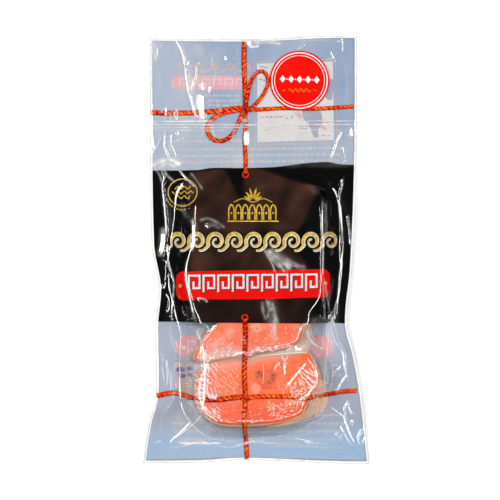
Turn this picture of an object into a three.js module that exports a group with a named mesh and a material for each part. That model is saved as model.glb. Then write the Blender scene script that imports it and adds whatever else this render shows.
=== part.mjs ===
// A vacuum pouch of raw salmon steaks, lying on its back with the printed front up.
// Millimetres, +Z up, +Y towards the pouch's header. The origin is under the middle of its bounding box.
// The pouch is one solid: film drawn down over the slices, the flat header, the welded rim and main folds.
// A round paper label lies on the header.
import * as THREE from "three";

// Driving dimensions
const TOP_Y = 165; // the header's highest edge
const BOTTOM_Y = -165; // the bottom weld's lowest edge
const FILM = 1.0; // front and back film with what is between them, where the pouch is empty
const SLICE_THICKNESS = 20; // of each slice at its edge
const SLICE_DOME = 1.5; // how much thicker the soft flesh is inside the edge
const SLICE_ROUNDING = 5; // radius of a slice's upper edge under the film
const SLICE_SIDE = 4; // slope of a slice's side, as rise over run
const SUCTION = 0.1; // curvature that the vacuum gives to unsupported film, in 1/mm
const RIM_LIFT = 5; // how far the side welds stand off the table beside the slices
const LABEL_RADIUS = 23;
const LABEL_THICKNESS = 0.4;
const LABEL_GAP = 0.3; // adhesive between the label and the film
const LABEL_CENTRE = [33.2, 130.2];

// Mesh spacing
const COLUMNS = 50;
const ROW_STEP = { weld: 4.2, slices: 3.6, header: 7.5 };
const SLICES_END_Y = 74; // the rows are close together below this
const WELD_END_Y = -148; // top of the broad weld along the bottom
const BOTTOM_RINGS = [0.35, 0.75, 1]; // steps from the rim to the flat underside, as shares of its margin
const FLAT_MARGIN = { side: 0.17, end: 0.045 }; // how far in the flat underside starts, as shares
const GRID_STEP = 2.5; // of the film's relaxation
const RELAX_ROUNDS = 500;
const RELAX_FACTOR = 1.8;

// The side edges as [y, x]: the film is drawn in beside the slices and flares to the bottom weld.
const LEFT_EDGE = [
  [165, -82.2],
  [5, -80.3],
  [-29, -74.9],
  [-57, -77.2],
  [-112, -77.2],
  [-137, -83.2],
  [-165, -87.3],
];
const RIGHT_EDGE = [
  [165, 77.7],
  [72, 77.2],
  [-14, 73.7],
  [-57, 69.9],
  [-82, 76.0],
  [-113, 81.4],
  [-165, 87.3],
];
// The top and bottom edges as [x, y]
const TOP_EDGE = [
  [-88, 163],
  [-10, 162.2],
  [20, 163.2],
  [50, 164.8],
  [88, 165],
];
const BOTTOM_EDGE = [
  [-88, -164.4],
  [-43, -163.8],
  [-10, -161.9],
  [57, -164.4],
  [88, -165],
];

// Outlines of the cross-cut slices, from the header down. The first lies wholly behind the printed band, where
// the film stands off the table in one broad hood, so it is what the hood's flat top covers.
const SLICES = {
  back: [
    [-51, 24],
    [-50, 37],
    [-42, 45.5],
    [0, 47.5],
    [44, 45],
    [52, 38],
    [53.5, 20],
    [53.5, -26],
    [44.5, -48],
    [38, -60],
    [0, -65],
    [-39, -62],
    [-53, -40],
    [-58, -16],
    [-53, 8],
  ],
  middle: [
    [-46, -77],
    [-49, -84],
    [-42, -87],
    [-8, -81.5],
    [28, -74],
    [35.5, -65],
    [36.5, -48],
    [27, -34],
    [-2, -31],
    [-26, -40],
    [-38, -62],
  ],
  front: [
    [-41, -91],
    [-47, -108],
    [-41, -125.5],
    [-24, -134.8],
    [-2, -135.7],
    [22, -132.4],
    [38, -124],
    [43.5, -111],
    [49.5, -98],
    [41, -80],
    [6, -81],
    [-26, -86],
  ],
};
const OUTLINE_STEPS = 90;
const BACK_LEAN = { from: 36, slope: 0.42 }; // above this y the back slice's top falls towards the header

// Folds of the stiff film, as ridges along a smooth line: [x, y] points, height and half width
const FOLDS = [
  { line: [[-53, -58], [-42.5, -77], [-40.2, -112], [-42, -125], [-59, -141]], height: 1.6, width: 3 },
  { line: [[57.5, -54], [54.5, -77], [53, -104], [56, -116]], height: 1.8, width: 3 },
  { line: [[-68, -62], [-64, -85], [-65, -116], [-73, -146]], height: 1.5, width: 3.5 },
  { line: [[62, -70], [68, -100], [70, -123], [75, -149]], height: 1.5, width: 3.5 },
  { line: [[-60, 36], [-49, 14], [-52, -10], [-48, -38], [-46, -57]], height: 1.6, width: 3 },
  { line: [[51, 38], [51.5, -15], [57, -56]], height: 1.6, width: 3 },
  { line: [[-72, 54], [-69, 15], [-72, -8], [-66, -28], [-66, -54]], height: 1.5, width: 3.5 },
  { line: [[67, 55], [63, 34], [67, 4], [64, -23], [61, -56]], height: 1.5, width: 3.5 },
  { line: [[-62, 161], [-55, 140], [-51, 118], [-46, 101]], height: 1.2, width: 4 },
  { line: [[60, 92], [57, 80], [52, 68]], height: 1.2, width: 4 },
];
const FOLD_STEPS = 24;
// The weld across the header: two fine ridges
const HEADER_WELDS = [96.8, 92.6];
const WELD_RIDGE = { height: 0.5, width: 2.2 };
const BOTTOM_WELD_STEP = 0.6; // the bottom weld is this much thinner than the film above it
// The empty header isn't flat: broad waves, fading out under the label
const WAVE = { height: 0.5, across: 61, slant: 47 };

const { clamp, smoothstep, lerp } = THREE.MathUtils;

// A smooth curve through [at, value] knots, which may run either way
function through(knots, at) {
  const sorted = knots[0][0] < knots[knots.length - 1][0] ? knots : [...knots].reverse();
  let i = 0;
  while (i < sorted.length - 2 && at > sorted[i + 1][0]) i++;
  const [a, b] = [sorted[i], sorted[i + 1]];
  const before = sorted[i - 1] ?? a;
  const after = sorted[i + 2] ?? b;
  const span = b[0] - a[0];
  const t = clamp((at - a[0]) / span, 0, 1);
  const slopeA = ((b[1] - before[1]) / (b[0] - before[0])) * span;
  const slopeB = ((after[1] - a[1]) / (after[0] - a[0])) * span;
  const [t2, t3] = [t * t, t * t * t];
  return (
    (2 * t3 - 3 * t2 + 1) * a[1] + (t3 - 2 * t2 + t) * slopeA + (3 * t2 - 2 * t3) * b[1] + (t3 - t2) * slopeB
  );
}

// The point of the pouch at shares u across (left to right) and v along (bottom to top)
function place(u, v) {
  const nominal = lerp(BOTTOM_Y, TOP_Y, v);
  const x = lerp(through(LEFT_EDGE, nominal), through(RIGHT_EDGE, nominal), u);
  return [x, lerp(through(BOTTOM_EDGE, x), through(TOP_EDGE, x), v)];
}

function smoothPoints(points, closed, steps) {
  const curve = new THREE.CatmullRomCurve3(
    points.map(([x, y]) => new THREE.Vector3(x, y, 0)),
    closed,
    "centripetal",
  );
  return curve.getSpacedPoints(steps).map((p) => [p.x, p.y]);
}

// Distance from a point to a line of points
function distanceTo(line, x, y) {
  let nearest = Infinity;
  for (let i = 1; i < line.length; i++) {
    const [ax, ay] = line[i - 1];
    const [dx, dy] = [line[i][0] - ax, line[i][1] - ay];
    const t = clamp(((x - ax) * dx + (y - ay) * dy) / (dx * dx + dy * dy), 0, 1);
    nearest = Math.min(nearest, Math.hypot(x - ax - t * dx, y - ay - t * dy));
  }
  return nearest;
}

function isInside(outline, x, y) {
  let inside = false;
  for (let i = 1; i < outline.length; i++) {
    const [[ax, ay], [bx, by]] = [outline[i - 1], outline[i]];
    if (ay > y !== by > y && x < ((bx - ax) * (y - ay)) / (by - ay) + ax) inside = !inside;
  }
  return inside;
}

const slices = Object.entries(SLICES).map(([name, points]) => ({
  leans: name === "back",
  outline: smoothPoints(points, true, OUTLINE_STEPS),
}));
const foldLines = FOLDS.map((fold) => ({ ...fold, points: smoothPoints(fold.line, false, FOLD_STEPS) }));

// Height of the slices' upper surface: a little domed, with rounded edges and steep sides, or 0 beside them
function sliceTop(x, y) {
  let top = 0;
  for (const { leans, outline } of slices) {
    const away = distanceTo(outline, x, y);
    let height = SLICE_THICKNESS - SLICE_ROUNDING;
    if (isInside(outline, x, y)) {
      const short = Math.max(0, SLICE_ROUNDING - away);
      height += Math.sqrt(SLICE_ROUNDING ** 2 - short ** 2) + SLICE_DOME * smoothstep(away, 0, 20);
    } else height -= SLICE_SIDE * away;
    if (leans) height -= BACK_LEAN.slope * Math.max(0, y - BACK_LEAN.from);
    top = Math.max(top, height);
  }
  return top;
}

// How far the back film stands off the table: nothing below the slices, most at the side welds beside them
function underside(x, y) {
  const left = through(LEFT_EDGE, y);
  const right = through(RIGHT_EDGE, y);
  const across = Math.abs((2 * (x - left)) / (right - left) - 1);
  const beside = smoothstep(y, BOTTOM_Y, -110) * (1 - smoothstep(y, 20, 100));
  const wave = 1 + 0.25 * Math.sin(y / 13) * Math.sign(x);
  return RIM_LIFT * beside * wave * smoothstep(across, 1 - 2 * FLAT_MARGIN.side, 1);
}

function nearLabel(x, y) {
  const away = Math.hypot(x - LABEL_CENTRE[0], y - LABEL_CENTRE[1]);
  return 1 - smoothstep(away, LABEL_RADIUS + 3, LABEL_RADIUS + 14);
}

// Height that folds, welds and waves add to the front film
function relief(x, y) {
  let height = 0;
  for (const fold of foldLines) {
    const near = distanceTo(fold.points, x, y) / fold.width;
    height = Math.max(height, fold.height * Math.exp(-near * near));
  }
  for (const weld of HEADER_WELDS) {
    height += WELD_RIDGE.height * Math.max(0, 1 - Math.abs(y - weld) / WELD_RIDGE.width);
  }
  const empty = smoothstep(y, SLICES_END_Y, 90) * (1 - smoothstep(y, 150, TOP_Y));
  const turn = 2 * Math.PI;
  const waves = Math.sin((turn * x) / WAVE.across) + Math.sin((turn * (0.8 * x + y)) / WAVE.slant);
  height += empty * WAVE.height * (1 + 0.5 * waves);
  height -= BOTTOM_WELD_STEP * (1 - smoothstep(y, WELD_END_Y - 2, WELD_END_Y + 2));
  return height * (1 - nearLabel(x, y));
}

// The front film as a membrane drawn down over the slices: a grid of heights, relaxed against what carries it
function drapedFilm() {
  const size = [2 * 90, TOP_Y - BOTTOM_Y + 4].map((length) => Math.ceil(length / GRID_STEP) + 1);
  const origin = [-90, BOTTOM_Y - 2];
  const [nx, ny] = size;
  const carried = new Float64Array(nx * ny);
  const free = new Uint8Array(nx * ny);
  for (let j = 0; j < ny; j++) {
    for (let i = 0; i < nx; i++) {
      const [x, y] = [origin[0] + i * GRID_STEP, origin[1] + j * GRID_STEP];
      const k = j * nx + i;
      carried[k] = FILM + Math.max(underside(x, y), sliceTop(x, y));
      const across = x > through(LEFT_EDGE, y) && x < through(RIGHT_EDGE, y);
      free[k] = across && j > 0 && j < ny - 1 ? 1 : 0;
    }
  }
  const height = Float64Array.from(carried);
  const pull = SUCTION * GRID_STEP ** 2;
  for (let round = 0; round < RELAX_ROUNDS; round++) {
    for (let k = nx; k < nx * (ny - 1); k++) {
      if (!free[k]) continue;
      const level = (height[k - 1] + height[k + 1] + height[k - nx] + height[k + nx] - pull) / 4;
      height[k] = Math.max(carried[k], lerp(height[k], level, RELAX_FACTOR));
    }
  }
  return (x, y) => {
    const [gx, gy] = [(x - origin[0]) / GRID_STEP, (y - origin[1]) / GRID_STEP];
    const i = clamp(Math.floor(gx), 0, nx - 2);
    const j = clamp(Math.floor(gy), 0, ny - 2);
    const at = (di, dj) => height[(j + dj) * nx + i + di];
    return lerp(lerp(at(0, 0), at(1, 0), gx - i), lerp(at(0, 1), at(1, 1), gx - i), gy - j);
  };
}

function rowShares() {
  const shares = [];
  const add = (from, to, step) => {
    const count = Math.round((to - from) / step);
    for (let i = 0; i < count; i++) shares.push((lerp(from, to, i / count) - BOTTOM_Y) / (TOP_Y - BOTTOM_Y));
  };
  add(BOTTOM_Y, WELD_END_Y, ROW_STEP.weld);
  add(WELD_END_Y, SLICES_END_Y, ROW_STEP.slices);
  add(SLICES_END_Y, HEADER_WELDS[1] - WELD_RIDGE.width, ROW_STEP.header);
  add(HEADER_WELDS[1] - WELD_RIDGE.width, HEADER_WELDS[0] + WELD_RIDGE.width, WELD_RIDGE.width);
  add(HEADER_WELDS[0] + WELD_RIDGE.width, TOP_Y, ROW_STEP.header);
  return [...shares, 1];
}

// Shares [u, v] once round the grid's border, anticlockwise seen from above
function borderShares(rows) {
  const columns = Array.from({ length: COLUMNS + 1 }, (_, i) => i / COLUMNS);
  return [
    ...columns.slice(0, -1).map((u) => [u, 0]),
    ...rows.slice(0, -1).map((v) => [1, v]),
    ...columns.slice(1).reverse().map((u) => [u, 1]),
    ...rows.slice(1).reverse().map((v) => [0, v]),
  ];
}

// The pouch: a grid of front film, a rim as thick as the weld, and an underside that is flat in the middle
function pouchGeometry() {
  const film = drapedFilm();
  const rows = rowShares();
  const positions = [];
  const faces = [];
  const add = (x, y, z) => positions.push(x, y, z) / 3 - 1;

  const front = rows.map((v) =>
    Array.from({ length: COLUMNS + 1 }, (_, i) => {
      const [x, y] = place(i / COLUMNS, v);
      return add(x, y, film(x, y) + relief(x, y));
    }),
  );
  for (let j = 1; j < rows.length; j++) {
    for (let i = 1; i <= COLUMNS; i++) {
      const [a, b] = [front[j - 1][i - 1], front[j - 1][i]];
      const [c, d] = [front[j][i], front[j][i - 1]];
      faces.push(a, b, c, a, c, d);
    }
  }

  const border = borderShares(rows);
  let outer = border.map(([u, v]) => front[rows.indexOf(v)][Math.round(u * COLUMNS)]);
  const bridge = (next) => {
    for (let i = 0; i < border.length; i++) {
      const j = (i + 1) % border.length;
      faces.push(outer[i], next[i], next[j], outer[i], next[j], outer[j]);
    }
    outer = next;
  };
  for (const share of [0, ...BOTTOM_RINGS]) {
    const ring = border.map(([u, v]) => {
      const [x, y] = place(
        lerp(u, lerp(FLAT_MARGIN.side, 1 - FLAT_MARGIN.side, u), share),
        lerp(v, lerp(FLAT_MARGIN.end, 1 - FLAT_MARGIN.end, v), share),
      );
      return add(x, y, share < 1 ? underside(x, y) : 0);
    });
    bridge(ring);
  }
  const flat = outer.map((k) => new THREE.Vector2(positions[3 * k], positions[3 * k + 1]));
  for (const [a, b, c] of THREE.ShapeUtils.triangulateShape(flat, [])) {
    faces.push(outer[a], outer[c], outer[b]);
  }

  const geometry = new THREE.BufferGeometry();
  geometry.setAttribute("position", new THREE.Float32BufferAttribute(positions, 3));
  geometry.setIndex(faces);
  geometry.computeVertexNormals();
  return geometry;
}

function pouch() {
  const material = new THREE.MeshStandardMaterial({ color: 0xd9907c, roughness: 0.2, metalness: 0 });
  const mesh = new THREE.Mesh(pouchGeometry(), material);
  mesh.name = "pouch";
  return mesh;
}

function label() {
  const material = new THREE.MeshStandardMaterial({ color: 0xe01008, roughness: 0.45, metalness: 0 });
  const geometry = new THREE.CylinderGeometry(LABEL_RADIUS, LABEL_RADIUS, LABEL_THICKNESS, 48);
  const mesh = new THREE.Mesh(geometry.rotateX(Math.PI / 2), material);
  mesh.name = "round_label";
  mesh.position.set(...LABEL_CENTRE, FILM + LABEL_GAP + LABEL_THICKNESS / 2);
  return mesh;
}

const pack = new THREE.Group();
pack.add(pouch(), label());
export default pack;
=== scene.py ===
"""Looks of a vacuum pouch of raw salmon steaks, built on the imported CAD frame.

The film is one height field: a membrane drawn down over the slices, with the stiff film's folds and wrinkles
added. The clear film, its print, the slices and the back film all take their heights from it.
Lengths are millimetres until a mesh is made. Places on the front are given as (column, row) of the
photograph, which is 0.77 mm a step, and at() turns them into millimetres.
"""

import math

import bpy
import numpy as np
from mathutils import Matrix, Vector
from mathutils.geometry import delaunay_2d_cdt


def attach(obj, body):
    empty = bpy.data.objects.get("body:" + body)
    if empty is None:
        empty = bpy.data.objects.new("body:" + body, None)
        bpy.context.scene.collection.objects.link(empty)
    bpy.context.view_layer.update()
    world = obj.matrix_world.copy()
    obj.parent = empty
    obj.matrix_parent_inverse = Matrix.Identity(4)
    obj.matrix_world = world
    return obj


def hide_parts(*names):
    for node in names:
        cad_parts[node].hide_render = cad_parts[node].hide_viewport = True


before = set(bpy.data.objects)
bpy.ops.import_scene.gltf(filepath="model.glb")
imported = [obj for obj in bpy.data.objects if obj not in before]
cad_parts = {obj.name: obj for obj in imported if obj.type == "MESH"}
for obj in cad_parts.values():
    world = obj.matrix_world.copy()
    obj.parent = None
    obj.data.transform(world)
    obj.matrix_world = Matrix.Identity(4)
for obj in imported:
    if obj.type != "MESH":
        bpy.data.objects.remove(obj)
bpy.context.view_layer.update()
scene = bpy.context.scene
rng = np.random.default_rng(11)

MM = 0.001
PIXEL = 0.77
PIXEL_CENTRE = (256.25, 249.75)


def at(points):
    """Photograph places as rows of x and y in millimetres."""
    p = np.array(points, float).reshape(-1, 2)
    return (p - PIXEL_CENTRE) * (PIXEL, -PIXEL)


def smoothstep(x, low, high):
    t = np.clip((x - low) / (high - low), 0, 1)
    return t * t * (3 - 2 * t)


def lerp(a, b, t):
    return a + (b - a) * t


STRENGTH = 0.66  # the light washes the floor out to white, so pigments are darker than they look


def pigment(r, g, b):
    """A linear colour from 8-bit values of how it looks in the light."""
    c = np.array([r, g, b], float) / 255
    return STRENGTH * np.where(c <= 0.04045, c / 12.92, ((c + 0.055) / 1.055) ** 2.4)


# ---------------------------------------------------------------- the pouch's outline, as in the CAD source

LEFT_EDGE = [(165, -82.2), (5, -80.3), (-29, -74.9), (-57, -77.2), (-112, -77.2), (-137, -83.2),
             (-165, -87.3)]
RIGHT_EDGE = [(165, 77.7), (72, 77.2), (-14, 73.7), (-57, 69.9), (-82, 76.0), (-113, 81.4), (-165, 87.3)]
TOP_EDGE = [(-88, 163), (-10, 162.2), (20, 163.2), (50, 164.8), (88, 165)]
BOTTOM_EDGE = [(-88, -164.4), (-43, -163.8), (-10, -161.9), (57, -164.4), (88, -165)]
BAND_TOP = at([(150, 170.6), (198, 170), (212, 168), (245, 168), (274, 167), (299, 164), (306, 163.2),
               (328, 162), (339, 164.2), (357, 164.8)])
BAND_BOTTOM = at([(150, 321.4), (250, 322.3), (357, 323.2)])


def through(knots, place):
    """A smooth curve through (place, value) knots."""
    k = np.array(sorted(map(tuple, knots)), float)
    place = np.asarray(place, float)
    i = np.clip(np.searchsorted(k[:, 0], place) - 1, 0, len(k) - 2)
    before, after = np.maximum(i - 1, 0), np.minimum(i + 2, len(k) - 1)
    x0, x1, y0, y1 = k[i, 0], k[i + 1, 0], k[i, 1], k[i + 1, 1]
    t = np.clip((place - x0) / (x1 - x0), 0, 1)
    s0 = (y1 - k[before, 1]) / (x1 - k[before, 0]) * (x1 - x0)
    s1 = (k[after, 1] - y0) / (k[after, 0] - x0) * (x1 - x0)
    return ((2 * t**3 - 3 * t**2 + 1) * y0 + (t**3 - 2 * t**2 + t) * s0
            + (3 * t**2 - 2 * t**3) * y1 + (t**3 - t**2) * s1)


# ---------------------------------------------------------------- fields on a fine grid over the pouch

STEP = 0.4
xs = np.arange(-92, 92.01, STEP)
ys = np.arange(-168, 168.01, STEP)
X, Y = np.meshgrid(xs, ys)
left, right = through(LEFT_EDGE, Y), through(RIGHT_EDGE, Y)
bottom, top = through(BOTTOM_EDGE, X), through(TOP_EDGE, X)
INWARD = np.minimum(np.minimum(X - left, right - X), np.minimum(Y - bottom, top - Y))  # distance to the rim


def sample(field, x, y):
    """A field's values at places (mm), between its grid points."""
    gx = np.clip((x - xs[0]) / STEP, 0, len(xs) - 1.001)
    gy = np.clip((y - ys[0]) / STEP, 0, len(ys) - 1.001)
    i, j = gx.astype(int), gy.astype(int)
    fx, fy = gx - i, gy - j
    return lerp(lerp(field[j, i], field[j, i + 1], fx), lerp(field[j + 1, i], field[j + 1, i + 1], fx), fy)


def smooth_line(points, closed=False, spacing=1.0):
    """Catmull-Rom through points, at even spacing."""
    p = np.array(points, float)
    if closed:
        p = np.vstack([p[-1], p, p[:2]])
    else:
        p = np.vstack([2 * p[0] - p[1], p, 2 * p[-1] - p[-2]])
    t = np.linspace(0, 1, 13)[:-1, None]
    out = []
    for a, b, c, d in zip(p, p[1:], p[2:], p[3:]):
        out.append(0.5 * (2 * b + (c - a) * t + (2 * a - 5 * b + 4 * c - d) * t**2
                          + (3 * b - a - 3 * c + d) * t**3))
    out = np.vstack([*out, p[-2]])
    s = np.concatenate([[0], np.cumsum(np.hypot(*np.diff(out, axis=0).T))])
    n = max(2, int(round(s[-1] / spacing)) + 1)
    even = np.linspace(0, s[-1], n)
    return np.column_stack([np.interp(even, s, out[:, 0]), np.interp(even, s, out[:, 1])])


def to_line(x, y, line):
    """Distance of places from a line, the share along it of their nearest points, and their side of it."""
    best, along, side = np.full(x.shape, 1e9), np.zeros(x.shape), np.zeros(x.shape)
    s = 0.0
    for a, b in zip(line, line[1:]):
        dx, dy = b - a
        length = math.hypot(dx, dy)
        t = np.clip(((x - a[0]) * dx + (y - a[1]) * dy) / max(length * length, 1e-9), 0, 1)
        px, py = x - a[0] - t * dx, y - a[1] - t * dy
        d = np.hypot(px, py)
        m = d < best
        best[m] = d[m]
        along[m] = (s + t * length)[m]
        side[m] = np.sign(dx * py - dy * px)[m]
        s += length
    return best, along / s, side


def near(line, reach):
    """The grid's window round a line, with its points' distance from the line, share along it and side."""
    i0, i1 = np.searchsorted(xs, [line[:, 0].min() - reach, line[:, 0].max() + reach])
    j0, j1 = np.searchsorted(ys, [line[:, 1].min() - reach, line[:, 1].max() + reach])
    window = (slice(j0, j1), slice(i0, i1))
    return window, *to_line(X[window], Y[window], line)


def closed_up(outline):
    return np.vstack([outline, outline[:1]])


def shape(points):
    """A smooth closed outline through photograph places."""
    return smooth_line(at(points), closed=True)


def unit(vectors):
    return vectors / (np.linalg.norm(vectors, axis=1)[:, None] + 1e-9)


def inside(outline, x, y):
    """Which places lie inside a closed outline."""
    result = np.zeros(x.shape, bool)
    for (ax, ay), (bx, by) in zip(outline, np.roll(outline, -1, axis=0)):
        if ay != by:
            result ^= ((ay > y) != (by > y)) & (x < (bx - ax) * (y - ay) / (by - ay) + ax)
    return result


def signed(outline, reach=14.0):
    """Distance to a closed outline over the whole grid, positive inside it."""
    window, distance, _, _ = near(closed_up(outline), reach)
    field = np.full(X.shape, -reach)
    within = inside(outline, X[window], Y[window])
    field[window] = np.where(within, distance, -np.minimum(distance, reach))
    return field


def area(points, soft):
    """A soft mask of a region given by photograph places."""
    return smoothstep(signed(shape(points), soft + 1), -soft, soft)


FREQ_Y = np.fft.fftfreq(X.shape[0], STEP)[:, None]
FREQ_X = np.fft.rfftfreq(X.shape[1], STEP)[None, :]


def grain(length, width, angle=0.0):
    """Smooth noise of unit variance, drawn out along angle (degrees)."""
    noise = np.fft.rfft2(rng.standard_normal(X.shape))
    a = math.radians(angle)
    u, v = FREQ_X * math.cos(a) + FREQ_Y * math.sin(a), FREQ_Y * math.cos(a) - FREQ_X * math.sin(a)
    made = np.fft.irfft2(noise * np.exp(-((u * length) ** 2 + (v * width) ** 2) * math.pi**2 / 2), X.shape)
    return made / made.std()


def blur(field, sigma):
    kept = np.exp(-2 * (math.pi * sigma) ** 2 * (FREQ_X**2 + FREQ_Y**2))
    return np.fft.irfft2(np.fft.rfft2(field) * kept, X.shape)


# ---------------------------------------------------------------- slices

FILM = 1.0  # the film's thickness in the CAD source
SUCTION = 0.1
SLICE_THICKNESS = 20.0
SLICE_DOME = 1.5
SLICE_ROUNDING = 5.0
SLICE_SIDE = 4.0
LOWER = at([(207.6, 362.5), (199.4, 370), (195.8, 379.4), (194.8, 391.6), (196.3, 401.8), (202.4, 413),
            (213.7, 422.2), (225.9, 425.3), (245.3, 425.8), (266.7, 424.3), (282, 422.2), (292, 419),
            (302.4, 414), (306.5, 406), (311, 397), (316.5, 389), (320.5, 377), (317.5, 366), (312, 356.5),
            (307, 351.6), (284, 353.2), (262, 354), (245.3, 356.8), (223.9, 359.6)])
UPPER = at([(193.4, 357.6), (195.3, 350.8), (204.5, 333.5), (214.7, 324.3), (226, 306), (244, 294),
            (262, 292), (284, 296), (298, 308), (303.5, 324), (302.8, 334), (298.5, 342.5), (291, 346.6),
            (277, 349.8), (261.6, 351.8), (245.3, 355.2), (223.9, 358.9), (210.6, 361.3), (200.4, 362)])
HIDDEN = at([(190, 219), (191, 203), (198, 192), (256, 188), (314, 192), (323, 199), (325.5, 212), (326, 235),
             (325.5, 262), (326, 284), (323, 300), (314, 312), (306, 328), (256, 334), (206, 330), (192, 314),
             (186, 296), (182, 284), (181, 270), (184, 256), (187.5, 242), (188, 229)])
HIDDEN_LEAN = 0.55  # what lies behind the band falls by this a millimetre towards the header
HIDDEN_LEAN_Y = 32.0  # from here up
HIDDEN_LEAN_SOFT = 2.5


def slice_top(distance):
    """Height of a slice's upper surface at a signed distance inside its outline."""
    short = np.maximum(0, SLICE_ROUNDING - np.maximum(distance, 0))
    rounding = np.sqrt(SLICE_ROUNDING**2 - np.minimum(short, SLICE_ROUNDING) ** 2)
    height = SLICE_THICKNESS - SLICE_ROUNDING + rounding + SLICE_DOME * smoothstep(distance, 0, 20)
    return np.where(distance > 0, height, SLICE_THICKNESS - SLICE_ROUNDING + SLICE_SIDE * distance)


in_lower, in_upper, in_hidden = (signed(smooth_line(p, closed=True)) for p in (LOWER, UPPER, HIDDEN))
lean = HIDDEN_LEAN * HIDDEN_LEAN_SOFT * np.logaddexp(0, (Y - HIDDEN_LEAN_Y) / HIDDEN_LEAN_SOFT)
# Soft flesh isn't flat: broad hollows, and a deeper one at the marrow
MARROW = at((266, 378))[0]
flesh_relief = 0.25 * grain(14, 9, 15) - 0.5 * np.exp(-(np.hypot(X - MARROW[0], Y - MARROW[1]) / 5) ** 2)
shown = np.maximum(slice_top(in_lower), slice_top(in_upper)) + flesh_relief
flesh_top = np.maximum(shown, slice_top(in_hidden) - lean + flesh_relief)

# The back film bends up a little along both sides, in slow waves
SIDE_LIFT = 5.0
SIDE_LIFT_SHARE = 0.17  # of the pouch's width
across = np.abs(2 * (X - left) / (right - left) - 1)
beside = smoothstep(Y, -165, -110) * (1 - smoothstep(Y, 20, 100))
waves = 1 + 0.25 * np.sin(Y / 13) * np.sign(X)
UNDER = SIDE_LIFT * beside * waves * smoothstep(across, 1 - 2 * SIDE_LIFT_SHARE, 1)

# ---------------------------------------------------------------- the film as a membrane


def drape():
    """Relaxes the film against what carries it, from a coarse grid to a fine one."""
    carried = FILM + np.maximum(UNDER, flesh_top)
    suction = SUCTION * lerp(1, 0.38, smoothstep(Y, 34, 46))  # the hood falls more gently towards the header
    free = INWARD > 0
    height = None
    for stride, rounds in ((8, 260), (4, 200), (2, 160)):
        c, f = carried[::stride, ::stride], free[::stride, ::stride].copy()
        f[[0, -1]] = f[:, [0, -1]] = False
        if height is None:
            h = c.copy()
        else:
            h = np.repeat(np.repeat(height, 2, 0), 2, 1)[: c.shape[0], : c.shape[1]]
            h = np.pad(h, ((0, c.shape[0] - h.shape[0]), (0, c.shape[1] - h.shape[1])), "edge")
            h = np.maximum(h, c)
            h[~f] = c[~f]
        pull = suction[::stride, ::stride][1:-1, 1:-1] * (STEP * stride) ** 2
        jj, ii = np.indices(c.shape)
        colours = [f & ((ii + jj) % 2 == k) for k in (0, 1)]
        for _ in range(rounds):
            for colour in colours:
                level = np.zeros_like(h)
                level[1:-1, 1:-1] = (h[1:-1, :-2] + h[1:-1, 2:] + h[:-2, 1:-1] + h[2:, 1:-1] - pull) / 4
                new = np.maximum(c, lerp(h, level, 1.8))
                h = np.where(colour, new, h)
        height = h
    rows, cols = (np.arange(count) / 2 for count in X.shape)
    j = np.clip(rows.astype(int), 0, height.shape[0] - 2)
    i = np.clip(cols.astype(int), 0, height.shape[1] - 2)
    fy, fx = (rows - j)[:, None], (cols - i)[None, :]
    near_row, far_row = height[j], height[j + 1]
    fine = lerp(lerp(near_row[:, i], near_row[:, i + 1], fx), lerp(far_row[:, i], far_row[:, i + 1], fx), fy)
    band = smoothstep(Y, at((0, 326))[0, 1], at((0, 314))[0, 1])
    return lerp(blur(fine, 0.9), blur(fine, 1.3), band), carried


membrane, carried = drape()
# Stiff film meets the back film at an angle, here sharper and there softer
above = membrane - FILM - UNDER
calm = np.maximum(
    area([(318, 318), (352, 318), (350, 440), (250, 450), (250, 430), (300, 426), (321, 404)], 4),
    area([(150, 330), (167, 332), (170, 400), (160, 432), (148, 432)], 4))
cut = (np.clip(1.3 + 0.45 * grain(16, 16), 0.5, 2.4) + 1.6 * calm) * (1 - smoothstep(above, 4, 12))
membrane = FILM + UNDER + 0.5 * (above - cut + np.hypot(above - cut, lerp(0.35, 0.06, calm))) - 0.02
contact = 1 - smoothstep(membrane - carried, 0.1, 1.2)  # where the film lies on what carries it
contact *= smoothstep(flesh_top, 6, 14)

relief = np.zeros(X.shape)


def ridge(points, height, width, other=None, blunt=None, ends=0.12):
    """A fold along a smooth line: a crest whose flanks fall away over width, or other on the right."""
    blunt = 0.45 * width if blunt is None else blunt
    line = smooth_line(at(points), spacing=0.8)
    window, d, along, side = near(line, 5 * max(width, other or 0))
    w = np.where(side < 0, other or width, width)
    taper = smoothstep(along, 0, ends) * smoothstep(1 - along, 0, ends)
    relief[window] += height * taper * np.exp(-(np.hypot(d, blunt) - blunt) / w)


def hollow(place, radii, depth, angle):
    """A soft oval hollow, turned by angle (degrees)."""
    (cx, cy), (rx, ry) = at(place)[0], radii
    a = math.radians(angle)
    u = (X - cx) * math.cos(a) + (Y - cy) * math.sin(a)
    v = (Y - cy) * math.cos(a) - (X - cx) * math.sin(a)
    relief[...] -= depth * np.exp(-((u / rx) ** 2 + (v / ry) ** 2))


def strokes(centre, spread, angle, count, length, height, jitter=14):
    """Many short fine wrinkles round a place, all about one way."""
    for _ in range(count):
        p = np.array(centre) + rng.uniform(-1, 1, 2) * spread
        a = math.radians(angle + rng.normal(0, jitter))
        d = np.array([math.cos(a), -math.sin(a)]) * length * rng.uniform(0.35, 0.65)
        bend = np.array([d[1], -d[0]]) * rng.uniform(-0.25, 0.25)
        ridge([p - d, p + bend, p + d], height * rng.uniform(0.5, 1.2), 0.7, blunt=0.25, ends=0.45)


def level_line(start, stop, row, middle=0.0, end=0.0):
    """A line along a photograph row, with its middle and its end a little lower."""
    return [(start, row), ((start + stop) / 2, row + middle), (stop, row + end)]


WELD_PARTS = ((150, 196), (206, 300), (306, 357))  # the header's weld lines, from column to column

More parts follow.
